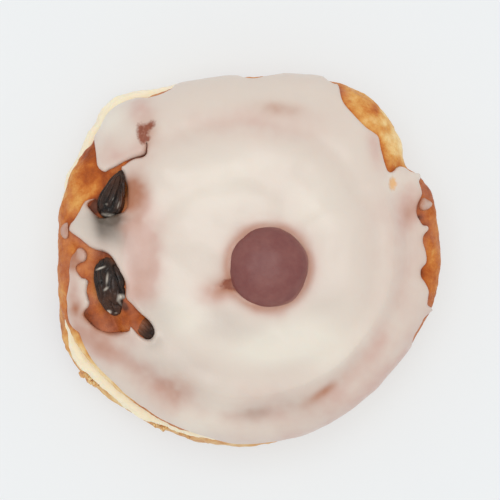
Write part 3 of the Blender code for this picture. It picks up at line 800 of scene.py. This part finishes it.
def inward_rows(ring, rows, seed):
    """Rings of torn crumb that run in from a cut edge."""
    distance, _ = from_middle(ring)
    made = []
    for step_in, step_up in rows:
        row = ring.copy()
        row[:, :2] *= 1.0 - step_in / distance[:, None]
        row[:, 2] = step_up
        row[:, 2] += 0.16 * ripple(row, 1.3, seed, 3)
        made.append(row)
    return made


def ring_faces(first, second, steps):
    """Faces between two rings of points, given the index at which each begins."""
    return [(first + i, first + (i + 1) % steps, second + (i + 1) % steps, second + i) for i in range(steps)]


lid_rows = inward_rows(rim_points, LID_CUT_ROWS, 34)
for row in lid_rows:
    row[:, 2] += lid_lift(row[:, 0])
starts = [0] + [len(lid_points) + i * RIM_COUNT for i in range(len(lid_rows))]
lid_faces = [tuple(face) for face in lid_triangles]
for outer, inner in zip(starts, starts[1:]):
    lid_faces += ring_faces(inner, outer, RIM_COUNT)
lid_faces.append(tuple(reversed(range(starts[-1], starts[-1] + RIM_COUNT))))
lid_crumb = np.where(np.arange(len(lid_points)) < RIM_COUNT, 0.5, 0.0)
cut_shares = {"bake": (lid_bake, 0.2), "crumb": (lid_crumb, 1.0), "film": (lid_film, 0.0)}
lid_shares = {name: np.append(crust, np.full(RIM_COUNT * len(lid_rows), cut))
              for name, (crust, cut) in cut_shares.items()}
add_piece("top_half", np.vstack([lid_points] + lid_rows), lid_faces, lid_crust, ["bun_top"],
          lid_shares)

# %% [markdown]
# ## The icing
# Poured icing finds its own level: it fills the crevice, thins over the swells, and ends in a
# round bead. The mesh is a closed skin. Its top is the dough's surface lifted by the icing's
# thickness, and rows of points close to the edge catch the bead's curve. Its underside is coarse
# and lies just inside the crust, so that no gap shows. Where the icing is thin the baked dough
# shows through, and the mesh carries that as tones: white, rose, brown, smoke and bare. Some
# of the rose, brown and smoke is painted shade as well: over the crevice, along the lower right
# rim, under the lower bay and round the cherry's foot.

# %% Tones of the icing
WHITE = [
    (-18, -15.6, 7, 6.4, 0, 0.9), (14.1, -20.4, 9, 6.5, 15, 1), (6.7, -22.3, 7, 5, 0, 0.6),
    (0.3, -24.2, 9, 5, 0, 0.7), (22.4, -24.2, 6, 5, 30, 0.9), (-12, -43, 13, 5.4, 8, 1),
    (-46.5, 9.4, 4, 2.2, -45, 0.2), (-8, 22, 14, 8, 20, 0.6), (16, 14, 9, 7, 60, 0.5),
    (-38.5, 38.8, 5.5, 3.4, 45, 1), (-22, -2, 5, 8, 0, 0.2), (44, 23.4, 4.5, 3.4, 60, 1),
    (39.6, 21.8, 3, 2, 80, 1), (30.7, -18.7, 6, 6, 0, 0.5)]
ROSE = [
    (-31, 17.4, 5.6, 3.4, 90, 1.2), (-28.6, 6, 8.5, 4.6, 92, 1.4), (-29, -3.5, 4.5, 3.8, 90, 1.2),
    (-29.6, -8.4, 4, 3, 0, 1.2), (-48, -9.4, 7, 2.2, 90, 1.2), (-47, 1.8, 2.6, 2, 60, 0.8),
    (-45.2, -19.2, 4.4, 2.8, -42, 1), (-40, -23.1, 4.8, 3.4, -38, 0.95), (-35.5, -26.6, 5, 3.6, -38, 0.16),
    (-28.2, -31.2, 5.4, 3.8, -35, 0.65), (-20.8, -35.6, 4.6, 5, -60, 0.85), (0.4, -41.6, 7, 3.2, 0, 0.2),
    (9, -41.5, 9, 3.2, 4, 0.45), (5, -36.2, 9, 2.8, 0, 0.36), (24, -37, 5, 2.6, 40, 0.4),
    (34.6, -22.9, 4, 3, 45, 0.4), (36.3, -19.5, 7, 5, 45, 0.3), (44.2, 13.7, 5.5, 2.6, 85, 0.9),
    (40, 8, 19, 7, 90, 0.35), (26.6, -31.6, 7, 2.6, 42, 0.55), (34, -34.5, 14, 3.2, 47, 0.35),
    (34.1, 31.2, 4.6, 1.8, 100, 0.9), (-29, 41, 3.4, 4, 0, 0.9), (-39.2, 31, 4.5, 3.4, 0, 0.5),
    (-36.4, 28.8, 4, 1.8, 20, 0.8), (-8.9, -8, 5, 3.2, 10, 1.1), (4, 38, 18, 5, 0, 0.4),
    (-50.9, 8.6, 2.6, 1.6, 90, 1), (-33, 10.5, 3, 3, 0, 0.6), (-31.6, 1.6, 5, 3, 90, 0.5),
    # the last spot of this table, under the lower bay's edge, is painted shade
    (-29.6, 31, 3, 2.6, 0, 0.4), (-31.8, -20.9, 3.4, 2, -20, 0.5)]
BROWN = [
    (-31.4, 18.4, 4.6, 3.2, 90, 1), (-32.2, 20.3, 2.6, 1.6, 60, 0.8), (-29.6, 20.8, 2.8, 2.4, 60, 0.3),
    (-33.2, 16.8, 3.4, 1, 90, 0.4), (-30.8, 11.4, 3, 2.6, 90, 0.34), (-29.4, -7.9, 3.4, 2.2, 0, 0.36),
    (-29, 0, 10, 3.6, 90, 0.28), (-49, -13, 3, 1.4, 80, 0.4), (-47.5, -12.9, 2.2, 1.5, 80, 0.9),
    (-48.4, -8.6, 3.4, 1.6, 80, 0.36), (-45.6, -18.9, 3.4, 2, -42, 0.34),
    (-42.2, -20.8, 3.6, 2.6, -42, 0.3), (-38.4, -23.9, 3.8, 2.6, -38, 0.32),
    (-33.5, -27.8, 4, 3, -38, 0.08), (-27.6, -31.8, 4.6, 3.2, -35, 0.26),
    (-20.4, -35.3, 3.8, 4.2, -60, 0.62), (20.8, -35.5, 4.6, 1.1, 36, 0.72),
    (15.4, -38.9, 3.4, 1.4, 14, 0.16), (2.2, -42.2, 4, 1.5, 4, 0.16), (44.4, 13.7, 3.6, 1.5, 85, 0.36),
    (-8.2, -7.2, 3.8, 2.4, 10, 0.9), (-27.6, 34.8, 4.4, 2.6, 80, 0.5), (8, 42, 6, 1.8, -5, 0.4),
    (-48.1, 0.5, 2.8, 1.6, 80, 1.1), (-50.9, 8.6, 2.2, 1.2, 90, 0.3), (48.4, 16, 3.2, 2.4, 60, 0.22),
    (-33.4, 10.4, 2.6, 2.4, 0, 0.3), (-31, 14.6, 3, 2, 80, 0.3)]
# Grey tints: partly dark fruit seen through thin icing, partly painted shadow in the crevice by the lower
# rim.
SMOKE_AND_SHADE = [
    (-38, 12.5, 4.2, 1.9, -6, 1.3), (-37.8, 9.6, 3.6, 3, 0, 0.62), (-43.6, 9.4, 6, 3.4, -40, 0.18),
    (-37, 6.4, 5, 2.6, 0, 0.24), (1.8, -42, 4.6, 1.8, 4, 0.2), (6, -40.4, 14, 4.2, 4, 0.09),
    (-30, -28.5, 12, 3.4, -35, 0.08), (-40.9, 9.3, 3.2, 1.6, 90, 0.28), (-7.2, -16.2, 5.5, 5, 0, 0.13),
    (2, -19, 9, 3, 0, 0.08), (-25.6, -21.8, 2.5, 1.6, 30, 0.16), (-24, -13, 6, 9, 0, 0.12),
    (-22, -27, 5, 3, 0, 0.1), (-14.6, -31.2, 8, 4.6, -30, 0.12), (-33, 2.4, 4.5, 2.4, -60, 0.1),
    (-29, -11.6, 3, 2.4, -45, 0.1), (24, -32, 8, 3, 35, 0.06), (14, -39.2, 6, 3, 10, 0.08),
    (19.7, -10.4, 6, 5, 0, 0.06)]
VEILS = [
    (-47, 1.8, 3.4, 2.6, 60, 0.9), (-51, 8.8, 3.4, 2.4, 90, 0.9), (48.6, 16.2, 3.2, 3, 60, 0.9),
    (-39.5, -19.6, 7, 2.4, -20, 0.6), (-30.4, 17.6, 4.6, 3.4, 90, 0.8), (-43.8, 17, 2.4, 2, 40, 0.8),
    (-45.6, -15.2, 3, 2.4, 60, 0.8), (47.8, 5.8, 4.5, 3, 90, 0.45), (47.4, -3, 4, 2.5, 90, 0.35)]
BARE_SPOTS = [
    (-5.6, -5.8, 2.6, 1.5, 20, 1.1), (-3, -7, 2.4, 1.3, -40, 1), (39.6, 21.8, 2.6, 1.5, 80, 1.05),
    (-29.4, 35.3, 3, 1.5, 100, 1.4), (-27, 37.6, 2, 1.4, 50, 1), (-27.6, 34, 1.2, 0.9, 0, 0.7)]
# The band over the crevice is partly thin icing and partly painted shade in the groove.
SEAM_RUN = [0, 15, 200, 260]             # mm along the crevice, and how rosy the icing is over it
SEAM_ROSE_AND_SHADE = [0.0, 0.22, 0.22, 0.05]
SEAM_WIDTH = 3.2
# Rose at the rim, most at the lower right: partly thin icing there, partly painted shade along the rim's
# edge.
LOWER_RIGHT = (-0.8, 0.8)                # its angle and width, where the icing runs thin over the rim
RIM_ROSE_AND_SHADE = (0.6, 1.01, 0.04)
THIN_EDGE = 0.35
VEIL_WIDTH = 1.1
CHERRY_PLACE = np.array([5.2, -1.3])
CHERRY_RADIUS = 11.1
CHERRY_ROSE = (0.95, 0.0, 2.6)           # amount, how far out from the cherry, and width
# the brown round the cherry's foot: partly its juice, partly painted shade where the cherry meets the icing
CHERRY_STAIN_AND_SHADE = (0.65, 0.0, 1.3)


def from_cherry(plan):
    return np.linalg.norm(plan - CHERRY_PLACE, axis=1) - CHERRY_RADIUS


def chart_ripple(plan, *layer):
    """A ripple whose swells are as wide on the steep edge as on the dome."""
    return ripple(np.column_stack([to_even(plan), np.zeros(len(plan))]), *layer)


def icing_tones(plan, gap):
    """The amounts of white, rose, brown, smoke and bare crust at places on the icing."""
    reach, angle = reach_of(plan)
    mottle = 1.0 + 0.3 * chart_ripple(plan, 6.0, 51, 3)
    distance, run = nearest(plan, crevice)
    # painted shade in the crevice's groove, together with the crust seen through thin icing
    seam = hump(distance, np.interp(run, SEAM_RUN, SEAM_ROSE_AND_SHADE), 0.0, SEAM_WIDTH)
    lower_right = hump(angle, 1.0, *LOWER_RIGHT)
    # partly painted shade where the icing turns down over the rim
    outer = held((reach - 0.84) / 0.16) * (0.1 + 0.42 * lower_right)
    outer += lower_right * hump(reach, *RIM_ROSE_AND_SHADE)
    bleed = np.clip(from_cherry(plan), 0.0, None)
    thin_edge = 0.3 * np.exp(-gap / THIN_EDGE) + patches(plan, VEILS) * np.exp(-gap / VEIL_WIDTH)
    brown = (patches(plan, BROWN) + 0.15 * seam) * mottle
    tones = {"white": patches(plan, WHITE),
             "rose": (patches(plan, ROSE) + outer + seam + hump(bleed, *CHERRY_ROSE)) * mottle,
             # partly painted shade round the cherry's foot
             "brown": brown + thin_edge + hump(bleed, *CHERRY_STAIN_AND_SHADE),
             "smoke": patches(plan, SMOKE_AND_SHADE), "bare": patches(plan, BARE_SPOTS)}
    return {name: held(tone) for name, tone in tones.items()}

# %% How far the icing stands out
ICING_BEAD = 1.25
GROOVE_RUN = [0, 15, 120, 260, 420, 700]      # mm along the crevice, and how deep the icing dips over it
GROOVE_DEPTH = [0.9, 1.5, 1.4, 0.9, 0.5, 0.3]
GROOVE_WIDTH = 3.6
CHERRY_LIP = (0.45, 0.0, 1.3)
LIP_INSIDE = -0.6                        # the lip goes on unchanged from this far under the cherry
BURIED = [(-38.9, 11.6, 4.4, 2.0, -6, 1.5), (-25.8, -21.9, 2.2, 1.8, -45, 0.8)]


def icing_lift(plan, gap):
    """How far the icing stands out from the smooth crust, given how far in from its edge the places are."""
    distance, run = nearest(plan, crevice)
    groove = crevice_left(plan) * hump(distance, np.interp(run, GROOVE_RUN, GROOVE_DEPTH), 0.0, GROOVE_WIDTH)
    lip = hump(np.clip(from_cherry(plan), LIP_INSIDE, None), *CHERRY_LIP)
    swell = 0.16 * chart_ripple(plan, 10.0, 41)
    dip = 0.6 * held(patches(plan, BARE_SPOTS)) + 0.22 * held(patches(plan, BROWN))
    level = dough_swells(plan) + ICING_THIN + lip + swell + patches(plan, BURIED) - groove - dip
    under = crust_relief(plan)
    return under + (level - under) * np.sqrt(1.0 - (1.0 - held(gap / ICING_BEAD)) ** 2)

# %% The icing's mesh
ICING_STEP = 0.6
BEAD_ROWS = [0.07, 0.2, 0.42, 0.75]
BEAD_CLEAR = 0.18
UNDER_STEP = 2.6
UNDER_CLEAR = 1.0
UNDER_SINK = 0.35


def bead_rows(loop):
    """Rows of points that follow a loop inside it, closer together towards the edge."""
    inward = leftward(np.roll(loop, -1, axis=0) - np.roll(loop, 1, axis=0))
    rows = []
    for offset in BEAD_ROWS:
        row = loop + offset * inward
        rows.append(row[edge_gap(row, loop) > 0.85 * offset])
    return np.vstack(rows)


def icing_skin(loop):
    """A closed skin over one loop: its points, its triangles, and each point's chart place and gap."""
    count = len(loop)
    fields = []
    for step, clear in ((ICING_STEP, BEAD_ROWS[-1] + BEAD_CLEAR), (UNDER_STEP, UNDER_CLEAR)):
        field = honeycomb(step, loop)
        fields.append(field[edge_gap(field, loop) > clear])
    even, top = fill(loop, np.vstack([bead_rows(loop), fields[0]]))
    gap = edge_gap(even, loop)
    gap[:count] = 0.0
    plan, smooth, normal = crust_frame(even)
    over = smooth + normal * icing_lift(plan, gap)[:, None]
    under_even, bottom = fill(loop, fields[1])
    under_plan, smooth, normal = crust_frame(under_even[count:])
    under = smooth + normal * (crust_relief(under_plan) - UNDER_SINK)[:, None]
    bottom = np.where(bottom < count, bottom, bottom + len(even) - count)[:, ::-1]
    return (np.vstack([over, under]), np.vstack([top, bottom]), np.vstack([plan, under_plan]),
            np.append(gap, np.zeros(len(under))))


skins = [icing_skin(loop) for loop in [icing_edge] + pool_edges]
firsts = np.cumsum([0] + [len(skin[0]) for skin in skins])
icing_points = np.vstack([skin[0] for skin in skins])
icing_faces = np.vstack([skin[1] + first for skin, first in zip(skins, firsts)])
tones = icing_tones(np.vstack([skin[2] for skin in skins]), np.concatenate([skin[3] for skin in skins]))
print(", ".join(f"{name} {tone.mean():.2f}" for name, tone in tones.items()))

# %% The icing's finish
icing_look = food("icing", 0.45, 0.18, (1.2, 0.8, 0.6), (0.08, 0.2))
cloud = icing_look.speckle(5.0)
fine = icing_look.speckle(0.8)
white = icing_look.share("white")
unsettled = 0.7 + 0.6 * cloud
colour = icing_look.mix(white, paint(219, 206, 195), paint(229, 221, 209))
# the grey tone is partly painted shadow
for name, stain in (("rose", (209, 179, 168)), ("smoke", (86, 77, 67)), ("brown", (174, 116, 88))):
    colour = icing_look.mix((icing_look.share(name) * unsettled).held(), colour, paint(*stain))
bare = ((icing_look.share("bare") + 0.9 * (cloud - 0.5) + 0.6 * (fine - 0.5) - 0.45) * 2.2).held()
dough = icing_look.mix(fine, paint(160, 92, 64), paint(122, 60, 44))
dough = icing_look.mix(white, dough, paint(230, 182, 130))
icing_look.wear(icing_look.mix(bare, colour, dough), (0.36 + 0.16 * (fine - 0.5) + 0.1 * bare).held(),
                0.7 * cloud + 0.3 * fine, 0.05)
add_piece("icing_glaze", icing_points, icing_faces, icing_look, ["icing"], tones)

# %% [markdown]
# ## Sultanas
# A sultana is a dried grape: a soft oval whose skin has shrunk into folds that run lengthwise,
# with sharp creases between them. A ball is stretched to size, and noise that is drawn out along
# the length says where the creases run: where it passes through zero, the skin dips in, and its
# colour there is darkened as painted shade. They baked on top of the dough, so they are nearly
# black, and the glaze makes them shine; its pale patches are partly smears of icing and partly
# painted highlights.

# %% The sultanas' finish
raisin_look = food("raisin", 0.22, 0.05, (1.0, 0.35, 0.2), (0.09, 0.15))
tint = raisin_look.speckle(2.2)
pores = raisin_look.speckle(0.3, 2.0)
skin = raisin_look.mix((tint * 2.4 - 0.8).held(), paint(26, 17, 13), paint(64, 41, 30))
# painted shade: the skin is painted darker down in the creases
skin = raisin_look.mix(raisin_look.share("crease"), skin, paint(12, 7, 6))
skin = raisin_look.mix(raisin_look.share("caramel"), skin, paint(138, 80, 48))
# painted highlight: pale patches on the skin, partly smears of icing
skin = raisin_look.mix((raisin_look.share("glaze") * (0.5 + tint)).held(), skin, paint(203, 194, 182))
raisin_look.wear(skin, (0.3 + 0.3 * (pores - 0.5) + 0.25 * (tint - 0.5)).held(), pores, 0.06)
print(f"raisin: {len(raisin_look.tree.nodes)} nodes")

# %% The sultanas
# Piece, node, place, length, width, thickness, heading, sink, taper and tilt.
RAISINS = [("sultana_1", "raisin_1", (-37.8, 19.1), 13.9, 6.9, 5.4, 71.0, 1.1, 0.5, 6.0),
           ("sultana_2", "raisin_2", (-38.5, -6.7), 16.2, 8.9, 6.2, -78.0, 0.7, 0.12, 0.0),
           ("sultana_3", "raisin_3", (-29.0, -18.5), 8.2, 4.9, 4.4, -47.0, 1.2, 0.10, -4.0)]
# Pale patches on the sultanas: partly smears of icing, partly painted highlights.
GLAZE_AND_GLINTS = [
    (-34.6, -9.3, 1.5, 0.8, -20, 0.58), (-35.6, -9.9, 1.1, 0.6, 50, 0.42),
    (-35.2, -11.2, 0.9, 0.5, -60, 0.38), (-38.6, -13.6, 0.9, 0.6, 10, 1.2),
    (-40.6, -1.5, 1.5, 0.3, 22, 0.8), (-38.8, -4.4, 2, 0.4, 84, 0.6), (-39.1, -7.2, 1.1, 0.4, 35, 0.6),
    (-36.4, -13.8, 0.5, 0.35, 0, 0.5), (-35.7, 15.8, 1.5, 0.3, 72, 0.45), (-38.4, 13, 3.2, 0.7, -6, 0.45),
    (-39, 16, 0.7, 0.5, 0, 0.35), (-37.2, 17.4, 0.9, 0.3, 60, 0.35)]
CARAMEL = [
    (-31.6, -15.9, 3.1, 3.6, -45, 1.5), (-37.2, 0.9, 1.8, 1, -30, 0.4), (-34.6, 17.6, 3, 0.7, 75, 0.3),
    (-39.6, -10.6, 3.2, 3, 0, 0.16), (-36.4, 22, 2.6, 2, 70, 0.12)]
GLAZE_THICK = 0.3


def ball_mesh(subdivisions):
    """Points and faces of a ball of radius 1 made of even triangles."""
    ball = bmesh.new()
    bmesh.ops.create_icosphere(ball, subdivisions=subdivisions, radius=1.0)
    unit = np.array([vert.co[:] for vert in ball.verts])
    faces = np.array([[vert.index for vert in face.verts] for face in ball.faces])
    ball.free()
    return unit, faces


def folded_skin(length, width, thickness, taper, seed):
    """A ball's points, stretched, tapered and creased, with how deep each lies in a crease."""
    unit, faces = ball_mesh(6)
    drawn = unit * [0.55, 1.5, 1.5]
    broad = np.abs(ripple(drawn, 0.8, seed, 1))
    narrow = np.abs(ripple(drawn, 0.42, seed + 1))
    crease = np.exp(-(broad / 0.16) ** 1.3)
    line = np.exp(-(narrow / 0.2) ** 1.3)
    dent = (0.65 * crease + 0.28 * line - 0.25 * broad) * min(1.0, width / 8.0) ** 2
    narrowing = 1.0 - taper * unit[:, :1]
    stretch = np.array([length, width, thickness]) / 2
    points = unit * stretch * np.hstack([np.ones_like(narrowing), narrowing, narrowing])
    return points - unit * dent[:, None] * [0.5, 0.9, 0.8], faces, held(crease + 0.4 * line)


def laid_down(points, place, heading, sink, tilt):
    """Turns points that lie along x so that they lie on the crust at a place."""
    _, ground, up = crust_frame(to_even(place))
    up = Vector(up[0])
    along = Vector((math.cos(math.radians(heading)), math.sin(math.radians(heading)), 0.0))
    side = up.cross(along).normalized()
    turn = Matrix((side.cross(up), side, up)).transposed() @ Matrix.Rotation(math.radians(-tilt), 3, "Y")
    return points @ np.array(turn).T + ground[0] - np.array(up) * sink


for i, (name, node, place, length, width, thickness, heading, sink, taper, tilt) in enumerate(RAISINS):
    points, faces, crease = folded_skin(length, width, thickness, taper, 61 + 3 * i)
    points = laid_down(points, seen([place]), heading, sink, tilt)
    upper = points[:, 2] > points[:, 2].mean()
    glaze = held(1.6 * patches(points[:, :2], GLAZE_AND_GLINTS) - 0.3) * upper
    points[:, 2] += GLAZE_THICK * glaze
    add_piece(name, points, faces, raisin_look, [node], {
        "crease": crease, "glaze": glaze, "caramel": held(patches(points[:, :2], CARAMEL))})

# %% [markdown]
# ## The cherry
# Half a glace cherry lies cut side down in the middle, with a thin veil of icing over it that
# dulls its red. It is a turned profile like a low dome, with a few shallow dimples, and its skin
# is smooth enough to shine softly.

# %% Rings stacked into a closed mesh
def ring_at(radius, turn, height):
    return np.column_stack([polar(radius, turn), np.zeros(len(turn)) + height])


def stack_faces(count, steps):
    """Faces of a stack of rings, with one flat face at each end."""
    faces = [tuple(reversed(range(steps)))]
    for row in range(count - 1):
        faces += ring_faces(row * steps, (row + 1) * steps, steps)
    faces.append(tuple(range((count - 1) * steps, count * steps)))
    return faces


def even_profile(pairs, size, step):
    """A smooth profile in shares of a size, with its points spaced evenly once it has that size."""
    return even_steps(smooth_curve(pairs, False) * size, step) / size

# %% The cherry
CHERRY_SIZE = [CHERRY_RADIUS, 7.2]       # radius and height in mm
CHERRY_SINK = 1.4
CHERRY_PROFILE = [
    (0.93, 0), (0.99, 0.08), (1, 0.22), (0.94, 0.48), (0.8, 0.72), (0.58, 0.89), (0.3, 0.98), (0.02, 1)]
CHERRY_STEPS = 120
CHERRY_ROW = 0.3
DIMPLE = 0.12

cherry_look = food("cherry", 0.3, 0.12, (2.0, 0.5, 0.4), (0.06, 0.3))
veil = cherry_look.speckle(4.5, 4.0, 0.6)
skin = cherry_look.mix((veil * 2.0 - 0.5).held(), paint(117, 64, 63), paint(134, 84, 79))
cherry_look.wear(cherry_look.mix(cherry_look.share("foot"), skin, paint(170, 122, 114)),
                 0.42 + 0.2 * (veil - 0.5), cherry_look.speckle(0.9), 0.04)

turn = np.linspace(0.0, TAU, CHERRY_STEPS, endpoint=False)
rows = []
for radius, height in even_profile(CHERRY_PROFILE, CHERRY_SIZE, CHERRY_ROW):
    dimpled = CHERRY_RADIUS + DIMPLE * np.sin(5 * turn + 2.0 * height)
    rows.append(ring_at(radius * dimpled, turn, height * CHERRY_SIZE[1]))
cherry_points = np.vstack(rows)
outward = cherry_points / np.linalg.norm(cherry_points + [0.0, 0.0, 1.0], axis=1)[:, None]
cherry_points = cherry_points + outward * (0.14 * ripple(cherry_points, 5.0, 71))[:, None]
cherry_foot = held((from_middle(cherry_points)[0] / CHERRY_RADIUS - 0.95) / 0.12)
cherry_place = smooth_crust(seen([CHERRY_PLACE]))
add_piece("cherry_half", cherry_points + cherry_place - [0.0, 0.0, CHERRY_SINK],
          stack_faces(len(rows), CHERRY_STEPS), cherry_look, ["cherry"], {"foot": cherry_foot})

# %% [markdown]
# ## The bottom half
# The base is what the baker's tray made of the dough: a flat underside that shows the coil as a
# shallow spiral groove, a rounded foot, and a soft side that bulges where the dough rose. Where
# the knife went through, the rim is ragged. It is one stack of rings, from the middle of the
# underside, out round the foot, up the side and in over the cut.

# %% The bottom half's rings
BASE_STEPS = 480
BASE_ROW = 0.5
BASE_SIZE = [52.0, 1.0, 1.0]
# Share of the rim's radius, height in mm, and share of the side's unevenness.
BASE_PROFILE = [
    (0.84, 0, 0), (0.905, 0.9, 0), (0.96, 3.2, 0.4), (0.99, 6.6, 0.8), (1, 10.5, 1), (0.996, 14, 1),
    (0.986, 16.6, 1), (0.955, 17, 0.4)]
BASE_CUT_ROWS = [(0.5, 0), (1, -0.05), (1.7, 0), (2.6, 0.02), (3.8, 0), (5.5, 0), (8, 0)]
SEAM = (1.5, TAIL_ANGLE, math.radians(2.5))
UNDER_ROWS = np.arange(1.0, 43.5, 0.75)      # mm from the middle, before they are scaled to the foot
UNDER_TURNS = 3.4
UNDER_GROOVE = 0.9
UNDER_WIDTH = 0.075                      # of the way from one turn of the groove to the next
TORN_FROM = 13.5                         # the knife has torn the side over the TORN_OVER mm above this
TORN_OVER = 3.0

turn = np.linspace(0.0, TAU, BASE_STEPS, endpoint=False)
base_rim = around(BASE_RIM, turn)
base_seam = bump_at(turn, *SEAM)
base_rows = []
for share in UNDER_ROWS / UNDER_ROWS[-1]:
    wound = (turn / TAU + (1.0 - share) * UNDER_TURNS) % 1.0
    deep = UNDER_GROOVE * min(1.0, 4.0 * (1.0 - share))
    groove = hump(np.minimum(wound, 1.0 - wound), deep, 0.0, UNDER_WIDTH)
    row = ring_at(base_rim * BASE_PROFILE[0][0] * share, turn, groove)
    row[:, 2] += held(0.16 * ripple(row, 3.0, 81, 3)) * (1.0 - share ** 8)
    base_rows.append(row)
for share, height, unevenness in even_profile(BASE_PROFILE, BASE_SIZE, BASE_ROW)[1:]:
    ring = base_rim * share
    row = ring_at(ring, turn, height)
    soft = 0.2 * lumps(base_rim * np.cos(turn), base_rim * np.sin(turn) + height, 18.0, 5)
    skin = 0.22 * ripple(row * [1.0, 1.0, 1.6], 5.0, 82, 3) + 0.06 * ripple(row, 1.4, 83)
    torn = 0.45 * ripple(row * [1.0, 1.0, 0.2], 2.6, 84, 3) * held((height - TORN_FROM) / TORN_OVER)
    row[:, :2] *= (1.0 + (unevenness * (soft + torn - base_seam) + min(1.0, height) * skin) / ring)[:, None]
    base_rows.append(row)
base_rows[-1][:, 2] += 0.2 * ripple(base_rows[-1], 2.0, 85)
side_count = len(base_rows)
for row in inward_rows(base_rows[-1], BASE_CUT_ROWS, 86):
    row[:, 2] += BASE_HEIGHT
    base_rows.append(row)
print(f"the bottom half has {len(base_rows)} rings of {BASE_STEPS}")

# %% The bottom half's colours and mesh
UNDER_PALE = 46.0                        # the underside is pale at the middle and even this far out
FOOT_BROWN = (0.4, 0.0, 4.0)             # amount, and the height and width of the brown band in mm
BURNT_SIDE = (0.26, math.radians(201.0), 0.15)
FILM_SIDE = (0.35, math.radians(255.0), 0.4)
CRUMB_FROM = 8.0                         # a little crumb shows through over the CRUMB_OVER mm above this
CRUMB_OVER = 7.0

base_points = np.vstack(base_rows)
height = base_points[:, 2]
base_distance, base_turn = from_middle(base_points)
pale = held(1.0 - base_distance / UNDER_PALE) * (height < 1.5)
base_bake = (0.14 + hump(height, *FOOT_BROWN) + bump_at(base_turn, *BURNT_SIDE) - 0.16 * pale
             + ripples(base_points, [(0.12, 12.0, 87), (0.12, 3.0, 88)]))
base_crumb = 0.2 * held((height - CRUMB_FROM) / CRUMB_OVER)
base_crumb[(side_count - 1) * BASE_STEPS:] = 1.0
base_film = bump_at(base_turn, *FILM_SIDE) * (height > 2.0)
add_piece("bottom_half", base_points, stack_faces(len(base_rows), BASE_STEPS), base_crust,
          ["bun_base"], {"bake": base_bake, "crumb": base_crumb, "film": base_film})

# %% Crumbs that the knife pushed together
# Middle and half width of each clump in degrees, how many crumbs, and how far past the rim.
CRUMB_CLUMPS = [(216.7, 3.2, 22, 0.0), (235.5, 1.6, 5, -0.4), (241.0, 1.8, 7, 0.2), (248.0, 3.0, 4, 0.0)]
CRUMB_RADII = (0.35, 1.15)
CRUMB_OUT = (-1.5, -0.1)
CRUMB_RISE = (-1.5, 0.4)

rng = np.random.default_rng(95)
grain_points, grain_faces = ball_mesh(3)
crumb_points = []
crumb_faces = []
clumps = [clump for clump in CRUMB_CLUMPS for _ in range(clump[2])]
for i, (degree, half, _, further) in enumerate(clumps):
    angle = math.radians(degree + half * rng.uniform(-1.0, 1.0))
    size = rng.uniform(*CRUMB_RADII)
    out = float(around(BASE_RIM, angle)) + further + rng.uniform(*CRUMB_OUT)
    middle = [out * math.cos(angle), out * math.sin(angle), BASE_HEIGHT + rng.uniform(*CRUMB_RISE)]
    rough = 1.0 + 0.3 * ripple(grain_points + 7.0 * i, 0.8, 96, 3)
    crumb_faces.append(grain_faces + len(grain_points) * i)
    crumb_points.append(middle + grain_points * rough[:, None] * size * rng.uniform(0.7, 1.0, 3))
crumb_points = np.vstack(crumb_points)
shade = 0.22 + 0.3 * ripple(crumb_points, 1.0, 97)
add_piece("crumbs", crumb_points, np.vstack(crumb_faces), base_crust, [], {
    "bake": shade, "crumb": np.full(len(shade), 0.35), "film": np.zeros(len(shade))})

# %% [markdown]
# ## The cream
# Whipped cream holds its shape, but the top half has pressed it out at the edge in soft, uneven
# folds. It is a stack of rings again, between the two cuts: the solid's own slow waves first,
# then folds of a few millimetres, then the small pits of whipped air. Light goes a little way
# into cream, so its shading is softened with subsurface scattering.

# %% The cream
CREAM_STEPS = 560
CREAM_ROW = 0.28
CREAM_SIZE = [8.0, 1.0]
# Share of the height, and how far in from the rim in mm.
CREAM_PROFILE = [(0.0, 1.9), (0.14, 0.7), (0.38, 0.0), (0.64, 0.1), (0.87, 0.9), (1.0, 2.2)]
# Height in mm, how many round the bun, how far a wave slants, and its start.
CREAM_WAVES = [(0.15, 9, 1.5, 0.0), (0.12, 16, -1.2, 1.0)]
CREAM_IN = [9.0, 6.0, 3.5, 1.5]

turn = np.linspace(0.0, TAU, CREAM_STEPS, endpoint=False)
cream_rim = around(CREAM_RIM, turn)
shares = [(0.0, CREAM_PROFILE[0][1] + step) for step in CREAM_IN]
shares += [tuple(pair) for pair in even_profile(CREAM_PROFILE, CREAM_SIZE, CREAM_ROW)]
shares += [(1.0, CREAM_PROFILE[-1][1] + step) for step in reversed(CREAM_IN)]
cream_rows = []
for share, inset in shares:
    wave = sum(height * np.sin(count * turn + slant * share + start)
               for height, count, slant, start in CREAM_WAVES)
    ring = cream_rim - inset + wave
    thickness = lid_lift(ring * np.cos(turn)) - BASE_HEIGHT
    row = ring_at(ring, turn, BASE_HEIGHT + share * thickness)
    folds = 0.35 * ripple(row * [1.0, 1.0, 1.7], 6.5, 91) + 0.16 * ripple(row, 2.2, 92, 3)
    show = math.sin(math.pi * min(max(share, 0.06), 0.94)) ** 0.5
    row[:, :2] *= (1.0 + folds * show / ring)[:, None]
    cream_rows.append(row)
print(f"the cream has {len(cream_rows)} rings of {CREAM_STEPS}")

cream_look = food("cream", 0.35, 0.3, (1.6, 1.1, 0.7))
fluff = cream_look.speckle(2.6)
air = cream_look.speckle(0.45, 2.0)
cream_look.wear(cream_look.mix(fluff, paint(248, 230, 195), paint(253, 241, 217)),
                0.42 + 0.2 * (air - 0.5), 0.5 * fluff + 0.5 * air, 0.1)
add_piece("cream_layer", np.vstack(cream_rows), stack_faces(len(cream_rows), CREAM_STEPS), cream_look,
          ["cream"], {})
